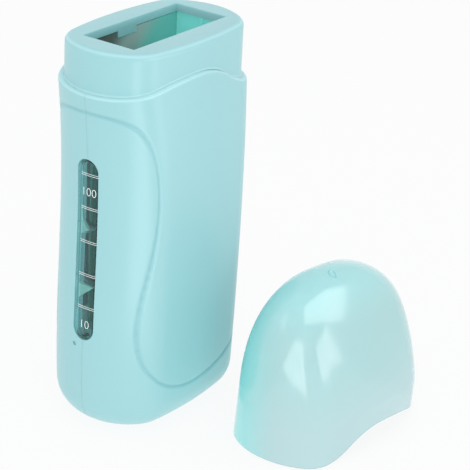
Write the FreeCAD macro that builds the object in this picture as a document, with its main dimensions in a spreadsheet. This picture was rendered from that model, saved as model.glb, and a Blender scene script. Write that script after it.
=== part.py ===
"""Roll-on wax heater: two casing shells, a neck collar, a heated cartridge chamber and a lift-off cap.

Frame: millimetres, +Z up, origin at the middle of the base on the table. The level window is in the
narrow end at -X, the wide faces look along -Y (front) and +Y (rear), the mains inlet is in the end
at +X. The cap stands on the table in front of the body.
"""
import FreeCAD, Part
import math
import os
import re

import Sketcher

Vector = FreeCAD.Vector
Rotation = FreeCAD.Rotation
ALONG_X, ALONG_Y, ALONG_Z = Vector(1, 0, 0), Vector(0, 1, 0), Vector(0, 0, 1)
EXCESS = 60.0  # how far cutting solids run past the body
ON_FACE = 0.01  # a point closer than this lies on the face
ROUGH = 9.0  # a sketch rectangle's side before its distances are bound
LOFT_LEVELS = 14  # sections of the casing's loft above its rounded base edge
LEVEL_SPREAD = 1.6  # above 1, these sections lie closer together at the lower end
ROUNDING_STEPS = 6  # sections of the loft within the rounded base edge
DOME_STEPS = 18  # sections of the cap's loft above its straight rim

# The styling groove's middle line, seen from the front: how far in from the window end, then from
# the inlet end, with its height on a casing whose shoulder is at GROOVE_SHOULDER.
GROOVE_SHOULDER = 138.5
GROOVE_NEAR = ((-3.0, 132.6), (0.9, 132.2), (7.2, 128.9), (14.0, 116.1), (16.2, 99.0), (13.2, 71.0),
               (9.6, 46.0), (13.4, 28.0), (26.0, 18.4))
GROOVE_FAR = ((36.0, 17.2), (18.0, 22.5), (6.0, 31.0), (-3.0, 40.0))

SIZES = {
    # shared
    "overrun": 1.0,
    "sink": 0.5,
    "fit_gap": 0.1,
    "lap_gap": 0.1,
    "screw_clearance": 0.05,
    "screw_tip_gap": 0.3,
    # casing
    "body_height": 156.0,
    "neck_height": 17.5,
    "end_room": 13.31,
    "side_room": 13.64,
    "side_bow_radius": 153.4,
    "end_bow_radius": 28.25,
    "corner_radius": 16.8,
    "base_radius": 13.5,
    "wall": 2.4,
    "floor_thickness": 3.6,
    "parting_gap": 0.12,
    # how far each side of the casing stands out from its shoulder, from the base up
    "near_foot": -2.64,
    "near_low": -1.4,
    "near_waist": -2.69,
    "far_foot": -1.9,
    "far_middle": 0.6,
    "side_foot": 1.9,
    "side_middle": 2.15,
    # wavy shoulder line, seen from the front
    "crest_x": -3.2,
    "crest_rise": 5.75,
    "near_trough_x": -54.0,
    "far_trough_x": 33.6,
    "far_drop": 5.2,
    "shoulder_round": 1.4,
    # styling groove
    "groove_width": 1.5,
    "groove_depth": 0.5,
    # neck collar
    "step_width": 2.1,
    "collar_draft": 0.003,
    "collar_edge_radius": 2.5,
    "collar_wall": 1.3,
    "skirt_depth": 12.5,
    "lip_depth": 3.3,
    "tab_x": -2.2,
    "tab_width": 10.7,
    "tab_depth": 2.6,
    "tab_thickness": 0.7,
    # cartridge and its chamber
    "cartridge_length": 54.7,
    "cartridge_depth": 23.0,
    "cartridge_clearance": 0.4,
    "chamber_relief": 1.2,
    "chamber_wall": 1.4,
    "chamber_floor": 36.0,
    "guide_rib_width": 1.6,
    "guide_rib_height": 0.9,
    "leg_radius": 3.0,
    "leg_x": 18.0,
    "leg_y": 8.4,
    # level window
    "window_bottom": 39.3,
    "window_top": 113.5,
    "window_width": 9.8,
    "window_margin": 2.2,
    "lens_thickness": 1.6,
    "lens_front_wall": 1.2,
    "lens_inset": 0.25,
    "frame_wall": 1.2,
    "marker_base": 6.0,
    "marker_reach": 6.4,
    "marker_thickness": 1.2,
    "marker_tip_rise": 1.0,
    "lower_marker_height": 60.5,
    "upper_marker_height": 83.0,
    # heater on the rear wall of the chamber
    "plate_thickness": 0.8,
    "plate_top_gap": 0.4,
    "plate_notch_gap": 0.3,
    "heater_height": 95.0,
    "pad_length": 28.0,
    "pad_height": 34.0,
    "ptc_length": 24.0,
    "ptc_height": 30.0,
    "ptc_thickness": 2.8,
    "film_thickness": 0.4,
    "film_margin": 1.0,
    "clamp_width": 12.0,
    "clamp_thickness": 1.0,
    "clamp_boss_radius": 3.4,
    "clamp_boss_height": 2.4,
    "clamp_screw_x": 21.0,
    "clamp_screw_radius": 1.2,
    "clamp_screw_reach": 2.9,
    "clamp_head_radius": 2.3,
    "clamp_head_height": 1.4,
    "fuse_radius": 2.0,
    "fuse_length": 11.0,
    "fuse_height": 66.0,
    "fuse_clip_thickness": 0.5,
    "fuse_clip_width": 5.0,
    # indicator
    "indicator_y": 4.0,
    "indicator_height": 36.4,
    "indicator_hole_radius": 0.8,
    "indicator_flange_radius": 1.5,
    "indicator_flange": 0.8,
    "led_radius": 1.5,
    "board_thickness": 1.6,
    "board_width": 16.0,
    "board_bottom": 14.0,
    "board_screw_height": 28.0,
    "board_screw_y": 5.4,
    "board_screw_radius": 1.0,
    "board_screw_reach": 2.5,
    "board_head_radius": 1.9,
    "board_head_height": 1.0,
    "hanger_drop": 10.0,
    "hanger_depth": 4.0,
    "resistor_radius": 1.1,
    "resistor_length": 5.6,
    "resistor_height": 21.5,
    # base plate and its screws
    "plate_half_length": 23.0,
    "plate_half_width": 12.4,
    "plate_corner": 4.0,
    "base_plate_thickness": 1.6,
    "base_screw_radius": 1.45,
    "base_head_radius": 2.6,
    "base_screw_length": 12.0,
    # mains inlet, two pins 8.6 mm apart
    "inlet_height": 26.0,
    "recess_width": 16.4,
    "recess_height": 8.6,
    "recess_depth": 12.0,
    "inlet_wall": 1.4,
    "inlet_flange": 1.5,
    "inlet_flange_margin": 2.0,
    "inlet_inset": 0.4,
    "pin_radius": 1.2,
    "pin_spacing": 8.6,
    "pin_length": 9.0,
    "pin_tail": 5.0,
    "pin_tip_round": 0.7,
    # wiring
    "mains_wire_radius": 0.9,
    "mains_bend_radius": 4.0,
    "thin_wire_radius": 0.5,
    "thin_bend_radius": 2.5,
    "tight_bend_radius": 1.5,
    "live_setback": 8.0,
    "neutral_setback": 18.0,
    "neutral_standoff": 5.0,
    "neutral_lift": 10.0,
    "neutral_lead_in": 6.0,
    "fuse_loop": 5.0,
    "fuse_lift": 7.0,
    "fuse_lead_in": 3.0,
    "lead_height": 4.0,
    # cap
    "cap_height": 67.2,
    "cap_clearance": 0.5,
    "cap_straight": 14.0,
    "cap_draft": 0.01,
    "dome_power_near": 5.4,
    "dome_power_far": 2.6,
    "dome_power_side": 1.33,
    "dome_crown": 0.9,
    "crown_shift": 13.4,
    "lean_power": 1.35,
    "gate_y": 4.6,
    "gate_radius": 1.8,
    "gate_height": 0.15,
    "cap_x": 29.3,
    "cap_y": -68.9,
    "cap_turn": 175.3,
}

doc = FreeCAD.newDocument("roll_on_wax_heater")
sheet = doc.addObject("Spreadsheet::Sheet", "sizes")
for row, (name, value) in enumerate(SIZES.items(), start=1):
    sheet.set(f"A{row}", name)
    sheet.set(f"B{row}", str(value))
    sheet.setAlias(f"B{row}", name)
doc.recompute()


class SheetReader:
    """Reads a size from the sheet by its alias."""

    def __getattr__(self, name):
        return float(sheet.get(name))


d = SheetReader()
sub_parts = []

# the casing at its shoulder: the cartridge and the room that the walls and heater take round it
casing_end = "(cartridge_length / 2 + end_room)"
half_length = d.cartridge_length / 2 + d.end_room
half_width = d.cartridge_depth / 2 + d.side_room
shoulder_height = d.body_height - d.neck_height
skirt_foot = shoulder_height - d.skirt_depth


# ---------------------------------------------------------------- document helpers
def bound(text):
    """The same sum with every size read from the sheet."""
    return re.sub(r"[a-z]\w*", lambda word: "sizes." + word.group(), text)


def bind(obj, prop, text):
    obj.setExpression(prop, bound(text))


def box(name, x, y, z):
    """A box whose low and high edges on each axis are pairs of sums."""
    obj = doc.addObject("Part::Box", name)
    for prop, axis, (low, high) in zip(("Length", "Width", "Height"), "xyz", (x, y, z)):
        bind(obj, prop, f"({high}) - ({low})")
        bind(obj, f"Placement.Base.{axis}", low)
    return obj


def rod(name, axis, start, radius, length):
    """A cylinder from start along an axis; start, radius and length are sums."""
    obj = doc.addObject("Part::Cylinder", name)
    obj.Placement = FreeCAD.Placement(Vector(), Rotation(ALONG_Z, axis))
    bind(obj, "Radius", radius)
    bind(obj, "Height", length)
    for letter, text in zip("xyz", start):
        bind(obj, f"Placement.Base.{letter}", text)
    return obj


def taper(name, start, low_radius, high_radius, length):
    """A cone that stands along Z."""
    obj = doc.addObject("Part::Cone", name)
    bind(obj, "Radius1", low_radius)
    bind(obj, "Radius2", high_radius)
    bind(obj, "Height", length)
    for letter, text in zip("xyz", start):
        bind(obj, f"Placement.Base.{letter}", text)
    return obj


def shaped(name, shape):
    """An object whose shape is worked out from the sheet by the functions below."""
    obj = doc.addObject("Part::Feature", name)
    obj.Shape = shape
    return obj


def fuse(name, *pieces):
    obj = doc.addObject("Part::MultiFuse", name)
    obj.Shapes = list(pieces)
    return obj


def common(name, *pieces):
    obj = doc.addObject("Part::MultiCommon", name)
    obj.Shapes = list(pieces)
    return obj


def cut(name, base, *tools):
    obj = doc.addObject("Part::Cut", name)
    obj.Base = base
    obj.Tool = tools[0] if len(tools) == 1 else fuse(name + "_tools", *tools)
    return obj


def group(name, *pieces):
    """Separate solids that share one node."""
    obj = doc.addObject("Part::Compound", name)
    obj.Links = list(pieces)
    return obj


def sub_part(obj, label):
    obj.Label = label
    sub_parts.append(obj)
    return obj


def origin_plane(body, role):
    return next(item for item in body.Origin.OriginFeatures if item.Role == role)


def new_sketch(body, name, role, offset="0"):
    """A sketch on one of the body's own planes, moved along its normal by a sum."""
    sketch = body.newObject("Sketcher::SketchObject", name)
    sketch.AttachmentSupport = [(origin_plane(body, role), "")]
    sketch.MapMode = "FlatFace"
    bind(sketch, "AttachmentOffset.Base.z", offset)
    return sketch


def sketch_rectangle(sketch, name, left, right, low, high):
    """Four lines whose sides are held by named distances from the sketch's origin."""
    first = len(sketch.Geometry)
    corners = [Vector(0, 0, 0), Vector(ROUGH, 0, 0), Vector(ROUGH, ROUGH, 0), Vector(0, ROUGH, 0)]
    for start, end in zip(corners, corners[1:] + corners[:1]):
        sketch.addGeometry(Part.LineSegment(start, end), False)
    for side in range(4):
        following = first + (side + 1) % 4
        sketch.addConstraint(Sketcher.Constraint("Coincident", first + side, 2, following, 1))
        kind = "Horizontal" if side % 2 == 0 else "Vertical"
        sketch.addConstraint(Sketcher.Constraint(kind, first + side))
    distances = (("DistanceX", 0, "left", left), ("DistanceY", 0, "low", low),
                 ("DistanceX", 2, "right", right), ("DistanceY", 2, "high", high))
    for kind, corner, word, text in distances:
        start = ROUGH if corner else 0.0
        index = sketch.addConstraint(Sketcher.Constraint(kind, -1, 1, first + corner, 1, start))
        sketch.renameConstraint(index, f"{name}_{word}")
        bind(sketch, f"Constraints.{name}_{word}", text)


def sketch_circle(sketch, name, x, y, radius):
    index = sketch.addGeometry(Part.Circle(Vector(1, 1, 0), ALONG_Z, 1.0), False)
    for kind, word, text in (("DistanceX", "x", x), ("DistanceY", "y", y)):
        held = sketch.addConstraint(Sketcher.Constraint(kind, -1, 1, index, 3, 1.0))
        sketch.renameConstraint(held, f"{name}_{word}")
        bind(sketch, f"Constraints.{name}_{word}", text)
    held = sketch.addConstraint(Sketcher.Constraint("Radius", index, 1.0))
    sketch.renameConstraint(held, f"{name}_radius")
    bind(sketch, f"Constraints.{name}_radius", radius)


def pad(body, name, sketch, length):
    feature = body.newObject("PartDesign::Pad", name)
    feature.Profile = sketch
    bind(feature, "Length", length)
    return feature


def pocket_through(body, name, sketch):
    feature = body.newObject("PartDesign::Pocket", name)
    feature.Profile = sketch
    feature.Type = 1
    feature.Midplane = True
    return feature


# ---------------------------------------------------------------- casing form
def value_through(points, at):
    """The value at `at` of the one polynomial through (place, value) points."""
    total = 0.0
    for place, value in points:
        weight = 1.0
        for other, _ in points:
            if other != place:
                weight *= (at - other) / (place - other)
        total += weight * value
    return total


def bowed_rectangle(half_x, half_y, inset, height, shift=0.0):
    """A closed wire of eight tangent arcs: bowed sides and ends joined by rounder corners."""
    half_x, half_y = half_x - inset, half_y - inset
    side, end, corner = (r - inset for r in (d.side_bow_radius, d.end_bow_radius, d.corner_radius))
    side_centre, end_centre = half_y - side, half_x - end
    # the corner's centre lies where circles of the leftover radii about the two centres cross
    apart = math.hypot(end_centre, side_centre)
    side_left, end_left = side - corner, end - corner
    along = (side_left**2 - end_left**2 + apart**2) / (2 * apart)
    across = math.sqrt(side_left**2 - along**2)
    unit_x, unit_y = end_centre / apart, -side_centre / apart
    corner_x = along * unit_x + across * unit_y
    corner_y = side_centre + along * unit_y - across * unit_x
    end_angle = math.atan2(corner_y, corner_x - end_centre)
    side_angle = math.atan2(corner_y - side_centre, corner_x)
    middle = (end_angle + side_angle) / 2

    def point(centre, radius, angle, sign_x, sign_y):
        x = (centre[0] + radius * math.cos(angle)) * sign_x + shift
        return Vector(x, (centre[1] + radius * math.sin(angle)) * sign_y, height)

    def end_point(sign_x, sign_y):
        return point((end_centre, 0), end, end_angle, sign_x, sign_y)

    def side_point(sign_x, sign_y):
        return point((0, side_centre), side, side_angle, sign_x, sign_y)

    def corner_point(sign_x, sign_y):
        return point((corner_x, corner_y), corner, middle, sign_x, sign_y)

    arcs = [
        Part.Arc(end_point(1, -1), Vector(half_x + shift, 0, height), end_point(1, 1)),
        Part.Arc(end_point(1, 1), corner_point(1, 1), side_point(1, 1)),
        Part.Arc(side_point(1, 1), Vector(shift, half_y, height), side_point(-1, 1)),
        Part.Arc(side_point(-1, 1), corner_point(-1, 1), end_point(-1, 1)),
        Part.Arc(end_point(-1, 1), Vector(shift - half_x, 0, height), end_point(-1, -1)),
        Part.Arc(end_point(-1, -1), corner_point(-1, -1), side_point(-1, -1)),
        Part.Arc(side_point(-1, -1), Vector(shift, -half_y, height), side_point(1, -1)),
        Part.Arc(side_point(1, -1), corner_point(1, -1), end_point(1, -1)),
    ]
    return Part.Wire([arc.toShape() for arc in arcs])


def near_reach(height):
    levels = ((0, d.near_foot), (1 / 3, d.near_low), (2 / 3, d.near_waist), (1, 0.0))
    return half_length + value_through(levels, height / shoulder_height)


def far_reach(height):
    levels = ((0, d.far_foot), (1 / 2, d.far_middle), (1, 0.0))
    return half_length + value_through(levels, height / shoulder_height)


def side_reach(height):
    levels = ((0, d.side_foot), (1 / 2, d.side_middle), (1, 0.0))
    return half_width + value_through(levels, height / shoulder_height)


def casing_section(level, height, inset):
    """The casing's outline at one level, moved in by inset and drawn at a height."""
    near, far = near_reach(level), far_reach(level)
    return bowed_rectangle((near + far) / 2, side_reach(level), inset, height, (far - near) / 2)


def casing_form(inset, bottom, top):
    """The casing's solid form, moved in by inset, with its base edge rounded.

    The sections lie close together at the rounding and spread out smoothly above it, which keeps
    the lofted walls from waving.
    """
    radius = d.base_radius - inset
    start = bottom + radius
    sections = []
    for step in range(ROUNDING_STEPS):
        angle = math.radians(90) * (1 - step / ROUNDING_STEPS)
        pulled_in = radius * (1 - math.cos(angle))
        sections.append(casing_section(start, start - radius * math.sin(angle), inset + pulled_in))
    for step in range(LOFT_LEVELS):
        height = start + (top - start) * (step / (LOFT_LEVELS - 1)) ** LEVEL_SPREAD
        sections.append(casing_section(height, height, inset))
    return Part.makeLoft(sections, True, False)


def behind_wall(inset):
    """The casing's form moved in by inset, open at the top: what lies behind its wall is cut from it."""
    return casing_form(inset, d.floor_thickness, d.body_height + d.overrun)


def tangent_s(start, end):
    """Two equal arcs in the XZ plane, level at both ends and tangent where they meet."""
    run, rise = end[0] - start[0], end[1] - start[1]
    radius = (run**2 + rise**2) / (4 * abs(rise))
    sign = math.copysign(1, rise)
    half_turn = math.asin(run / 2 / radius) / 2
    reach, lift = radius * math.sin(half_turn), sign * radius * (1 - math.cos(half_turn))
    middle = Vector((start[0] + end[0]) / 2, 0, (start[1] + end[1]) / 2)
    first = Part.Arc(Vector(start[0], 0, start[1]), Vector(start[0] + reach, 0, start[1] + lift), middle)
    second = Part.Arc(middle, Vector(end[0] - reach, 0, end[1] - lift), Vector(end[0], 0, end[1]))
    return [first.toShape(), second.toShape()]


def polyline(points):
    return [Part.makeLine(Vector(*a), Vector(*b)) for a, b in zip(points, points[1:])]


def above_shoulder(lift, height):
    """Everything above the wavy shoulder line, up to a height over the line's trough."""
    base = shoulder_height + lift
    near, crest = (d.near_trough_x, base), (d.crest_x, base + d.crest_rise)
    far, far_end = (d.far_trough_x, base - d.far_drop), half_length + EXCESS
    top = base + height
    edges = tangent_s(near, crest) + tangent_s(crest, far)
    edges += polyline([(far[0], 0, far[1]), (far_end, 0, far[1]), (far_end, 0, top),
                       (near[0], 0, top), (near[0], 0, near[1])])
    face = Part.Face(Part.Wire(edges))
    face.translate(Vector(0, -EXCESS, 0))
    return face.extrude(Vector(0, 2 * EXCESS, 0))


def stadium_prism(centre_y, low, high, width, x_start, x_end):
    """An upright slot with round ends, run along X."""
    radius = width / 2
    left, right = centre_y - radius, centre_y + radius
    bottom, top = low + radius, high - radius
    edges = [
        Part.Arc(Vector(x_start, left, bottom), Vector(x_start, centre_y, low),
                 Vector(x_start, right, bottom)).toShape(),
        Part.makeLine(Vector(x_start, right, bottom), Vector(x_start, right, top)),
        Part.Arc(Vector(x_start, right, top), Vector(x_start, centre_y, high),
                 Vector(x_start, left, top)).toShape(),
        Part.makeLine(Vector(x_start, left, top), Vector(x_start, left, bottom)),
    ]
    return Part.Face(Part.Wire(edges)).extrude(Vector(x_end - x_start, 0, 0))


def flat_stadium_prism(centre_z, width, height, x_start, x_end):
    """A slot with round ends that lies along Y, run along X."""
    prism = stadium_prism(0, -width / 2, width / 2, height, x_start, x_end)
    prism.rotate(Vector(), ALONG_X, 90)
    prism.translate(Vector(0, 0, centre_z))
    return prism


def groove_ribbon():
    """The styling groove's band, seen from the front, run through the whole depth of the body."""
    path = [(x - half_length, z) for x, z in GROOVE_NEAR]
    path += [(half_length - x, z) for x, z in GROOVE_FAR]
    stretch = shoulder_height / GROOVE_SHOULDER
    centre = Part.BSplineCurve()
    centre.interpolate([Vector(x, 0, z * stretch) for x, z in path])
    first, last = centre.FirstParameter, centre.LastParameter
    samples = 4 * len(path)
    rails = {1: [], -1: []}
    for step in range(samples + 1):
        place = first + (last - first) * step / samples
        tangent = centre.tangent(place)[0]
        sideways = Vector(-tangent.z, 0, tangent.x) * (d.groove_width / 2)
        for sign, rail in rails.items():
            rail.append(centre.value(place) + sideways * sign)
    curves = []
    for rail in (rails[1], rails[-1]):
        curve = Part.BSplineCurve()
        curve.interpolate(rail)
        curves.append(curve.toShape())
    ends = [Part.makeLine(rails[1][index], rails[-1][index]) for index in (0, -1)]
    face = Part.Face(Part.Wire(Part.__sortEdges__(curves + ends)))
    face.translate(Vector(0, -EXCESS, 0))
    return face.extrude(Vector(0, 2 * EXCESS, 0))


# ---------------------------------------------------------------- casing shells
def rounded_rectangle_prism(half_x, half_y, corner, bottom, top):
    block = Part.makeBox(2 * half_x, 2 * half_y, top - bottom, Vector(-half_x, -half_y, bottom))
    upright = [edge for edge in block.Edges if abs(edge.tangentAt(edge.FirstParameter).z) > 0.9]
    return block.makeFillet(corner, upright)


def casing_skin():
    """The casing as one thin shell, before it is parted into a front and a rear half."""
    outer = casing_form(0, 0, d.body_height)
    skin = outer.cut(behind_wall(d.wall)).cut(above_shoulder(0, EXCESS))
    mid_wall = behind_wall(d.wall / 2)
    rim = [edge for edge in skin.Edges if edge.BoundBox.ZMin > shoulder_height - 2 * d.far_drop
           and not mid_wall.isInside(edge.valueAt(edge.FirstParameter), ON_FACE, True)
           and not mid_wall.isInside(edge.valueAt(edge.LastParameter), ON_FACE, True)]
    skin = skin.makeFillet(d.shoulder_round, rim)
    under_groove = casing_form(d.groove_depth, d.groove_depth, d.body_height + d.overrun)
    return skin.cut(groove_ribbon().common(outer).cut(under_groove))


def casing_openings():
    """Everything that is let into the casing: window, indicator, inlet, base plate and screws."""
    window = stadium_prism(0, d.window_bottom, d.window_top, d.window_width, -EXCESS, 0)
    indicator = Part.makeCylinder(d.indicator_hole_radius, EXCESS,
                                  Vector(-EXCESS, d.indicator_y, d.indicator_height), ALONG_X)
    housing_width = d.recess_width + 2 * (d.inlet_wall + d.fit_gap)
    housing_height = d.recess_height + 2 * (d.inlet_wall + d.fit_gap)
    inlet = flat_stadium_prism(d.inlet_height, housing_width, housing_height, 0, EXCESS)
    seat = rounded_rectangle_prism(d.plate_half_length + d.fit_gap, d.plate_half_width + d.fit_gap,
                                   d.plate_corner, -d.overrun, d.base_plate_thickness)
    tools = [window, indicator, inlet, seat]
    for x in (-d.leg_x, d.leg_x):
        for y in (-d.leg_y, d.leg_y):
            tools.append(Part.makeCylinder(d.base_screw_radius + d.screw_clearance,
                                           d.floor_thickness + 2 * d.overrun, Vector(x, y, -d.overrun)))
    return tools


skin_shape = casing_skin().cut(casing_openings())
reach = EXCESS * 4
for label, low_y in (("front_shell", -reach - d.parting_gap / 2), ("rear_shell", d.parting_gap / 2)):
    side = Part.makeBox(2 * reach, reach, reach, Vector(-reach, low_y, -EXCESS))
    sub_part(shaped(label, skin_shape.common(side)), label)


# ---------------------------------------------------------------- neck collar
def collar_form(inset, bottom, top):
    sections = []
    for height in (bottom, top):
        drawn_in = d.step_width + d.collar_draft * (height - shoulder_height)
        sections.append(bowed_rectangle(half_length, half_width, inset + drawn_in, height))
    return Part.makeLoft(sections, True, False)


def within_casing(inset):
    """The neck's form moved in by inset from the casing, kept inside the casing's narrower waist."""
    straight = collar_form(inset - d.step_width, skirt_foot, d.body_height)
    return straight.common(behind_wall(inset))


def neck_collar():
    neck = collar_form(0, skirt_foot, d.body_height)
    rim = [edge for edge in neck.Edges if edge.BoundBox.ZMin > d.body_height - ON_FACE]
    neck = neck.makeFillet(d.collar_edge_radius, rim).common(above_shoulder(d.lap_gap, EXCESS))
    below_lip = Part.makeBox(4 * EXCESS, 4 * EXCESS, 4 * EXCESS,
                             Vector(-2 * EXCESS, -2 * EXCESS, d.body_height - d.lip_depth - 4 * EXCESS))
    skirt = within_casing(d.wall + d.lap_gap).common(below_lip)
    hollow = within_casing(d.wall + d.lap_gap + d.collar_wall).common(below_lip)
    return neck.fuse(skirt).cut(hollow).removeSplitter()


opening_x = "(cartridge_length / 2 + cartridge_clearance)"
opening_y = "(cartridge_depth / 2 + cartridge_clearance)"
lip_underside = "(body_height - lip_depth)"
collar_body = shaped("collar_body", neck_collar())
collar_opening = box("collar_opening", (f"-{opening_x}", opening_x), (f"-{opening_y}", opening_y),
                     ("body_height - neck_height - skirt_depth", "body_height + overrun"))
tab_from, tab_to = "(tab_x - tab_width / 2)", "(tab_x + tab_width / 2)"
collar_tab = box("collar_tab", (tab_from, tab_to),
                 (opening_y, f"{opening_y} + tab_thickness"),
                 (f"{lip_underside} - tab_depth", f"{lip_underside} + overrun"))
sub_part(fuse("neck_collar", cut("collar_ring", collar_body, collar_opening), collar_tab), "neck_collar")

# ---------------------------------------------------------------- cartridge chamber
inner_x = f"({opening_x} + chamber_relief)"
inner_y = f"({opening_y} + chamber_relief)"
outer_x = f"({inner_x} + chamber_wall)"
outer_y = f"({inner_y} + chamber_wall)"
chamber_bottom = "(chamber_floor - chamber_wall)"
slot_half = "(window_width / 2 + frame_wall)"
boss_face = f"({outer_y} + clamp_boss_height)"

chamber_block = box("chamber_block", (f"-{outer_x}", outer_x), (f"-{outer_y}", outer_y),
                    (chamber_bottom, f"{lip_underside} - fit_gap"))
chamber_space = box("chamber_space", (f"-{inner_x}", inner_x), (f"-{inner_y}", inner_y),
                    ("chamber_floor", "body_height"))
sight_slot = box("sight_slot", (f"-{outer_x} - overrun", f"-{inner_x} + overrun"),
                 ("-window_width / 2", "window_width / 2"), ("window_bottom", "window_top"))
pad_window = box("pad_window", ("-pad_length / 2 - fit_gap", "pad_length / 2 + fit_gap"),
                 (f"{inner_y} - overrun", f"{outer_y} + overrun"),
                 ("heater_height - pad_height / 2 - fit_gap", "heater_height + pad_height / 2 + fit_gap"))
tab_notch = box("tab_notch", (f"{tab_from} - overrun", f"{tab_to} + overrun"),
                (f"{inner_y} - overrun", f"{opening_y} + tab_thickness + fit_gap"),
                (f"{lip_underside} - tab_depth - overrun", "body_height"))
board_hanger = box("board_hanger", (f"-{outer_x}", f"-{outer_x} + hanger_depth"),
                   ("-board_width / 2", "board_width / 2"),
                   (f"{chamber_bottom} - hanger_drop", f"{chamber_bottom} + sink"))
guide_rib = box("guide_rib", (f"{inner_x} - guide_rib_height", f"{inner_x} + sink"),
                ("-guide_rib_width / 2", "guide_rib_width / 2"),
                ("chamber_floor - sink", f"{lip_underside} - fit_gap"))
leg_places = [(sign_x, sign_y) for sign_x in ("-", "") for sign_y in ("-", "")]
chamber_solids = [chamber_block, board_hanger]
chamber_holes = [chamber_space, sight_slot, pad_window, tab_notch]
for number, (sign_x, sign_y) in enumerate(leg_places, start=1):
    place = (f"{sign_x}leg_x", f"{sign_y}leg_y", "floor_thickness")
    chamber_solids.append(rod(f"leg_{number}", ALONG_Z, place, "leg_radius",
                              f"{chamber_bottom} - floor_thickness + sink"))
    chamber_holes.append(rod(f"leg_hole_{number}", ALONG_Z, place,
                             "base_screw_radius + screw_clearance", "base_screw_length"))
for number, sign in enumerate(("-", ""), start=1):
    boss_start = (f"{sign}clamp_screw_x", f"{outer_y} - sink", "heater_height")
    chamber_solids.append(rod(f"clamp_boss_{number}", ALONG_Y, boss_start, "clamp_boss_radius",
                              "clamp_boss_height + sink"))
    hole_start = (f"{sign}clamp_screw_x", f"{boss_face} - clamp_screw_reach - screw_tip_gap",
                  "heater_height")
    chamber_holes.append(rod(f"clamp_hole_{number}", ALONG_Y, hole_start,
                             "clamp_screw_radius + screw_clearance",
                             "clamp_screw_reach + screw_tip_gap + overrun"))
    board_start = (f"-{outer_x} - overrun", f"{sign}board_screw_y", "board_screw_height")
    chamber_holes.append(rod(f"board_hole_{number}", ALONG_X, board_start,
                             "board_screw_radius + screw_clearance",
                             "board_screw_reach + screw_tip_gap + overrun"))
chamber_solid = fuse("chamber_solid", *chamber_solids)
chamber_shell = cut("chamber_shell", chamber_solid, *chamber_holes)
sub_part(fuse("cartridge_chamber", chamber_shell, guide_rib), "cartridge_chamber")


# ---------------------------------------------------------------- level window
def window_slot(margin):
    """The window's slot, widened all round by a margin."""
    return stadium_prism(0, d.window_bottom - margin, d.window_top + margin,
                         d.window_width + 2 * margin, -EXCESS, 0)


def window_lens():
    """A clear tray: its flange lies behind the wall and its hollow front fills the slot."""
    outside = d.wall + d.lap_gap
    flange = window_slot(d.window_margin).common(behind_wall(outside))
    front = window_slot(-d.fit_gap).common(casing_form(d.lens_inset, 0, d.body_height))
    hollow = window_slot(-d.fit_gap - d.lens_front_wall).common(behind_wall(d.lens_inset + d.lens_front_wall))
    tray = flange.fuse(front).cut(behind_wall(outside + d.lens_thickness)).cut(hollow)
    return tray.removeSplitter()


sub_part(shaped("window_lens", window_lens()), "window_lens")

frame_block = box("frame_block", (f"-{casing_end}", f"-{outer_x}"), (f"-{slot_half}", slot_half),
                  ("window_bottom - frame_wall", "window_top + frame_wall"))
frame_passage = box("frame_passage", (f"-{casing_end} - overrun", f"-{outer_x} + overrun"),
                    ("-window_width / 2", "window_width / 2"), ("window_bottom", "window_top"))
behind_lens = shaped("behind_lens", behind_wall(d.wall + d.lap_gap + d.lens_thickness + d.lap_gap))


def chamber_end():
    """How far the chamber's end walls stand from the middle."""
    return d.cartridge_length / 2 + d.cartridge_clearance + d.chamber_relief + d.chamber_wall


def chamber_back():
    """How far the chamber's long walls stand from the middle."""
    return d.cartridge_depth / 2 + d.cartridge_clearance + d.chamber_relief + d.chamber_wall


def level_marker(height):
    """A flat arrow on the frame's rear wall that points across the window."""
    x = -half_length
    back = d.window_width / 2 + d.sink
    half = d.marker_base / 2
    corners = [(x, back, height - half), (x, back, height + half),
               (x, back - d.marker_reach, height + d.marker_tip_rise), (x, back, height - half)]
    face = Part.Face(Part.Wire(polyline(corners)))
    return face.extrude(Vector(half_length - chamber_end() - d.marker_thickness, 0, 0))


frame_ring = cut("frame_ring", frame_block, frame_passage)
markers = [shaped(f"marker_{number}", level_marker(height))
           for number, height in enumerate((d.lower_marker_height, d.upper_marker_height), start=1)]
frame_solid = fuse("frame_solid", frame_ring, *markers)
sub_part(common("window_frame", frame_solid, behind_lens), "window_frame")

# ---------------------------------------------------------------- heater
plate_face = f"({inner_y} - plate_thickness)"
plate_sheet = box("plate_sheet", (f"-{inner_x} + fit_gap", f"{inner_x} - fit_gap"), (plate_face, inner_y),
                  ("chamber_floor", f"{lip_underside} - plate_top_gap"))
plate_pad = box("plate_pad", ("-pad_length / 2", "pad_length / 2"), (plate_face, outer_y),
                ("heater_height - pad_height / 2", "heater_height + pad_height / 2"))
plate_notch = box("plate_notch", (f"{tab_from} - plate_notch_gap", f"{tab_to} + plate_notch_gap"),
                  (f"{plate_face} - overrun", f"{inner_y} + overrun"),
                  (f"{lip_underside} - tab_depth - plate_notch_gap", lip_underside))
sub_part(cut("heater_plate", fuse("heater_blank", plate_sheet, plate_pad), plate_notch), "heater_plate")

ptc_back = f"({outer_y} + ptc_thickness)"
film_back = f"({ptc_back} + film_thickness)"
sub_part(box("ptc_element", ("-ptc_length / 2", "ptc_length / 2"), (outer_y, ptc_back),
             ("heater_height - ptc_height / 2", "heater_height + ptc_height / 2")), "ptc_element")
sub_part(box("ptc_insulator", ("-ptc_length / 2 - film_margin", "ptc_length / 2 + film_margin"),
             (ptc_back, film_back),
             ("heater_height - ptc_height / 2 - film_margin",
              "heater_height + ptc_height / 2 + film_margin")), "ptc_insulator")

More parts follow.
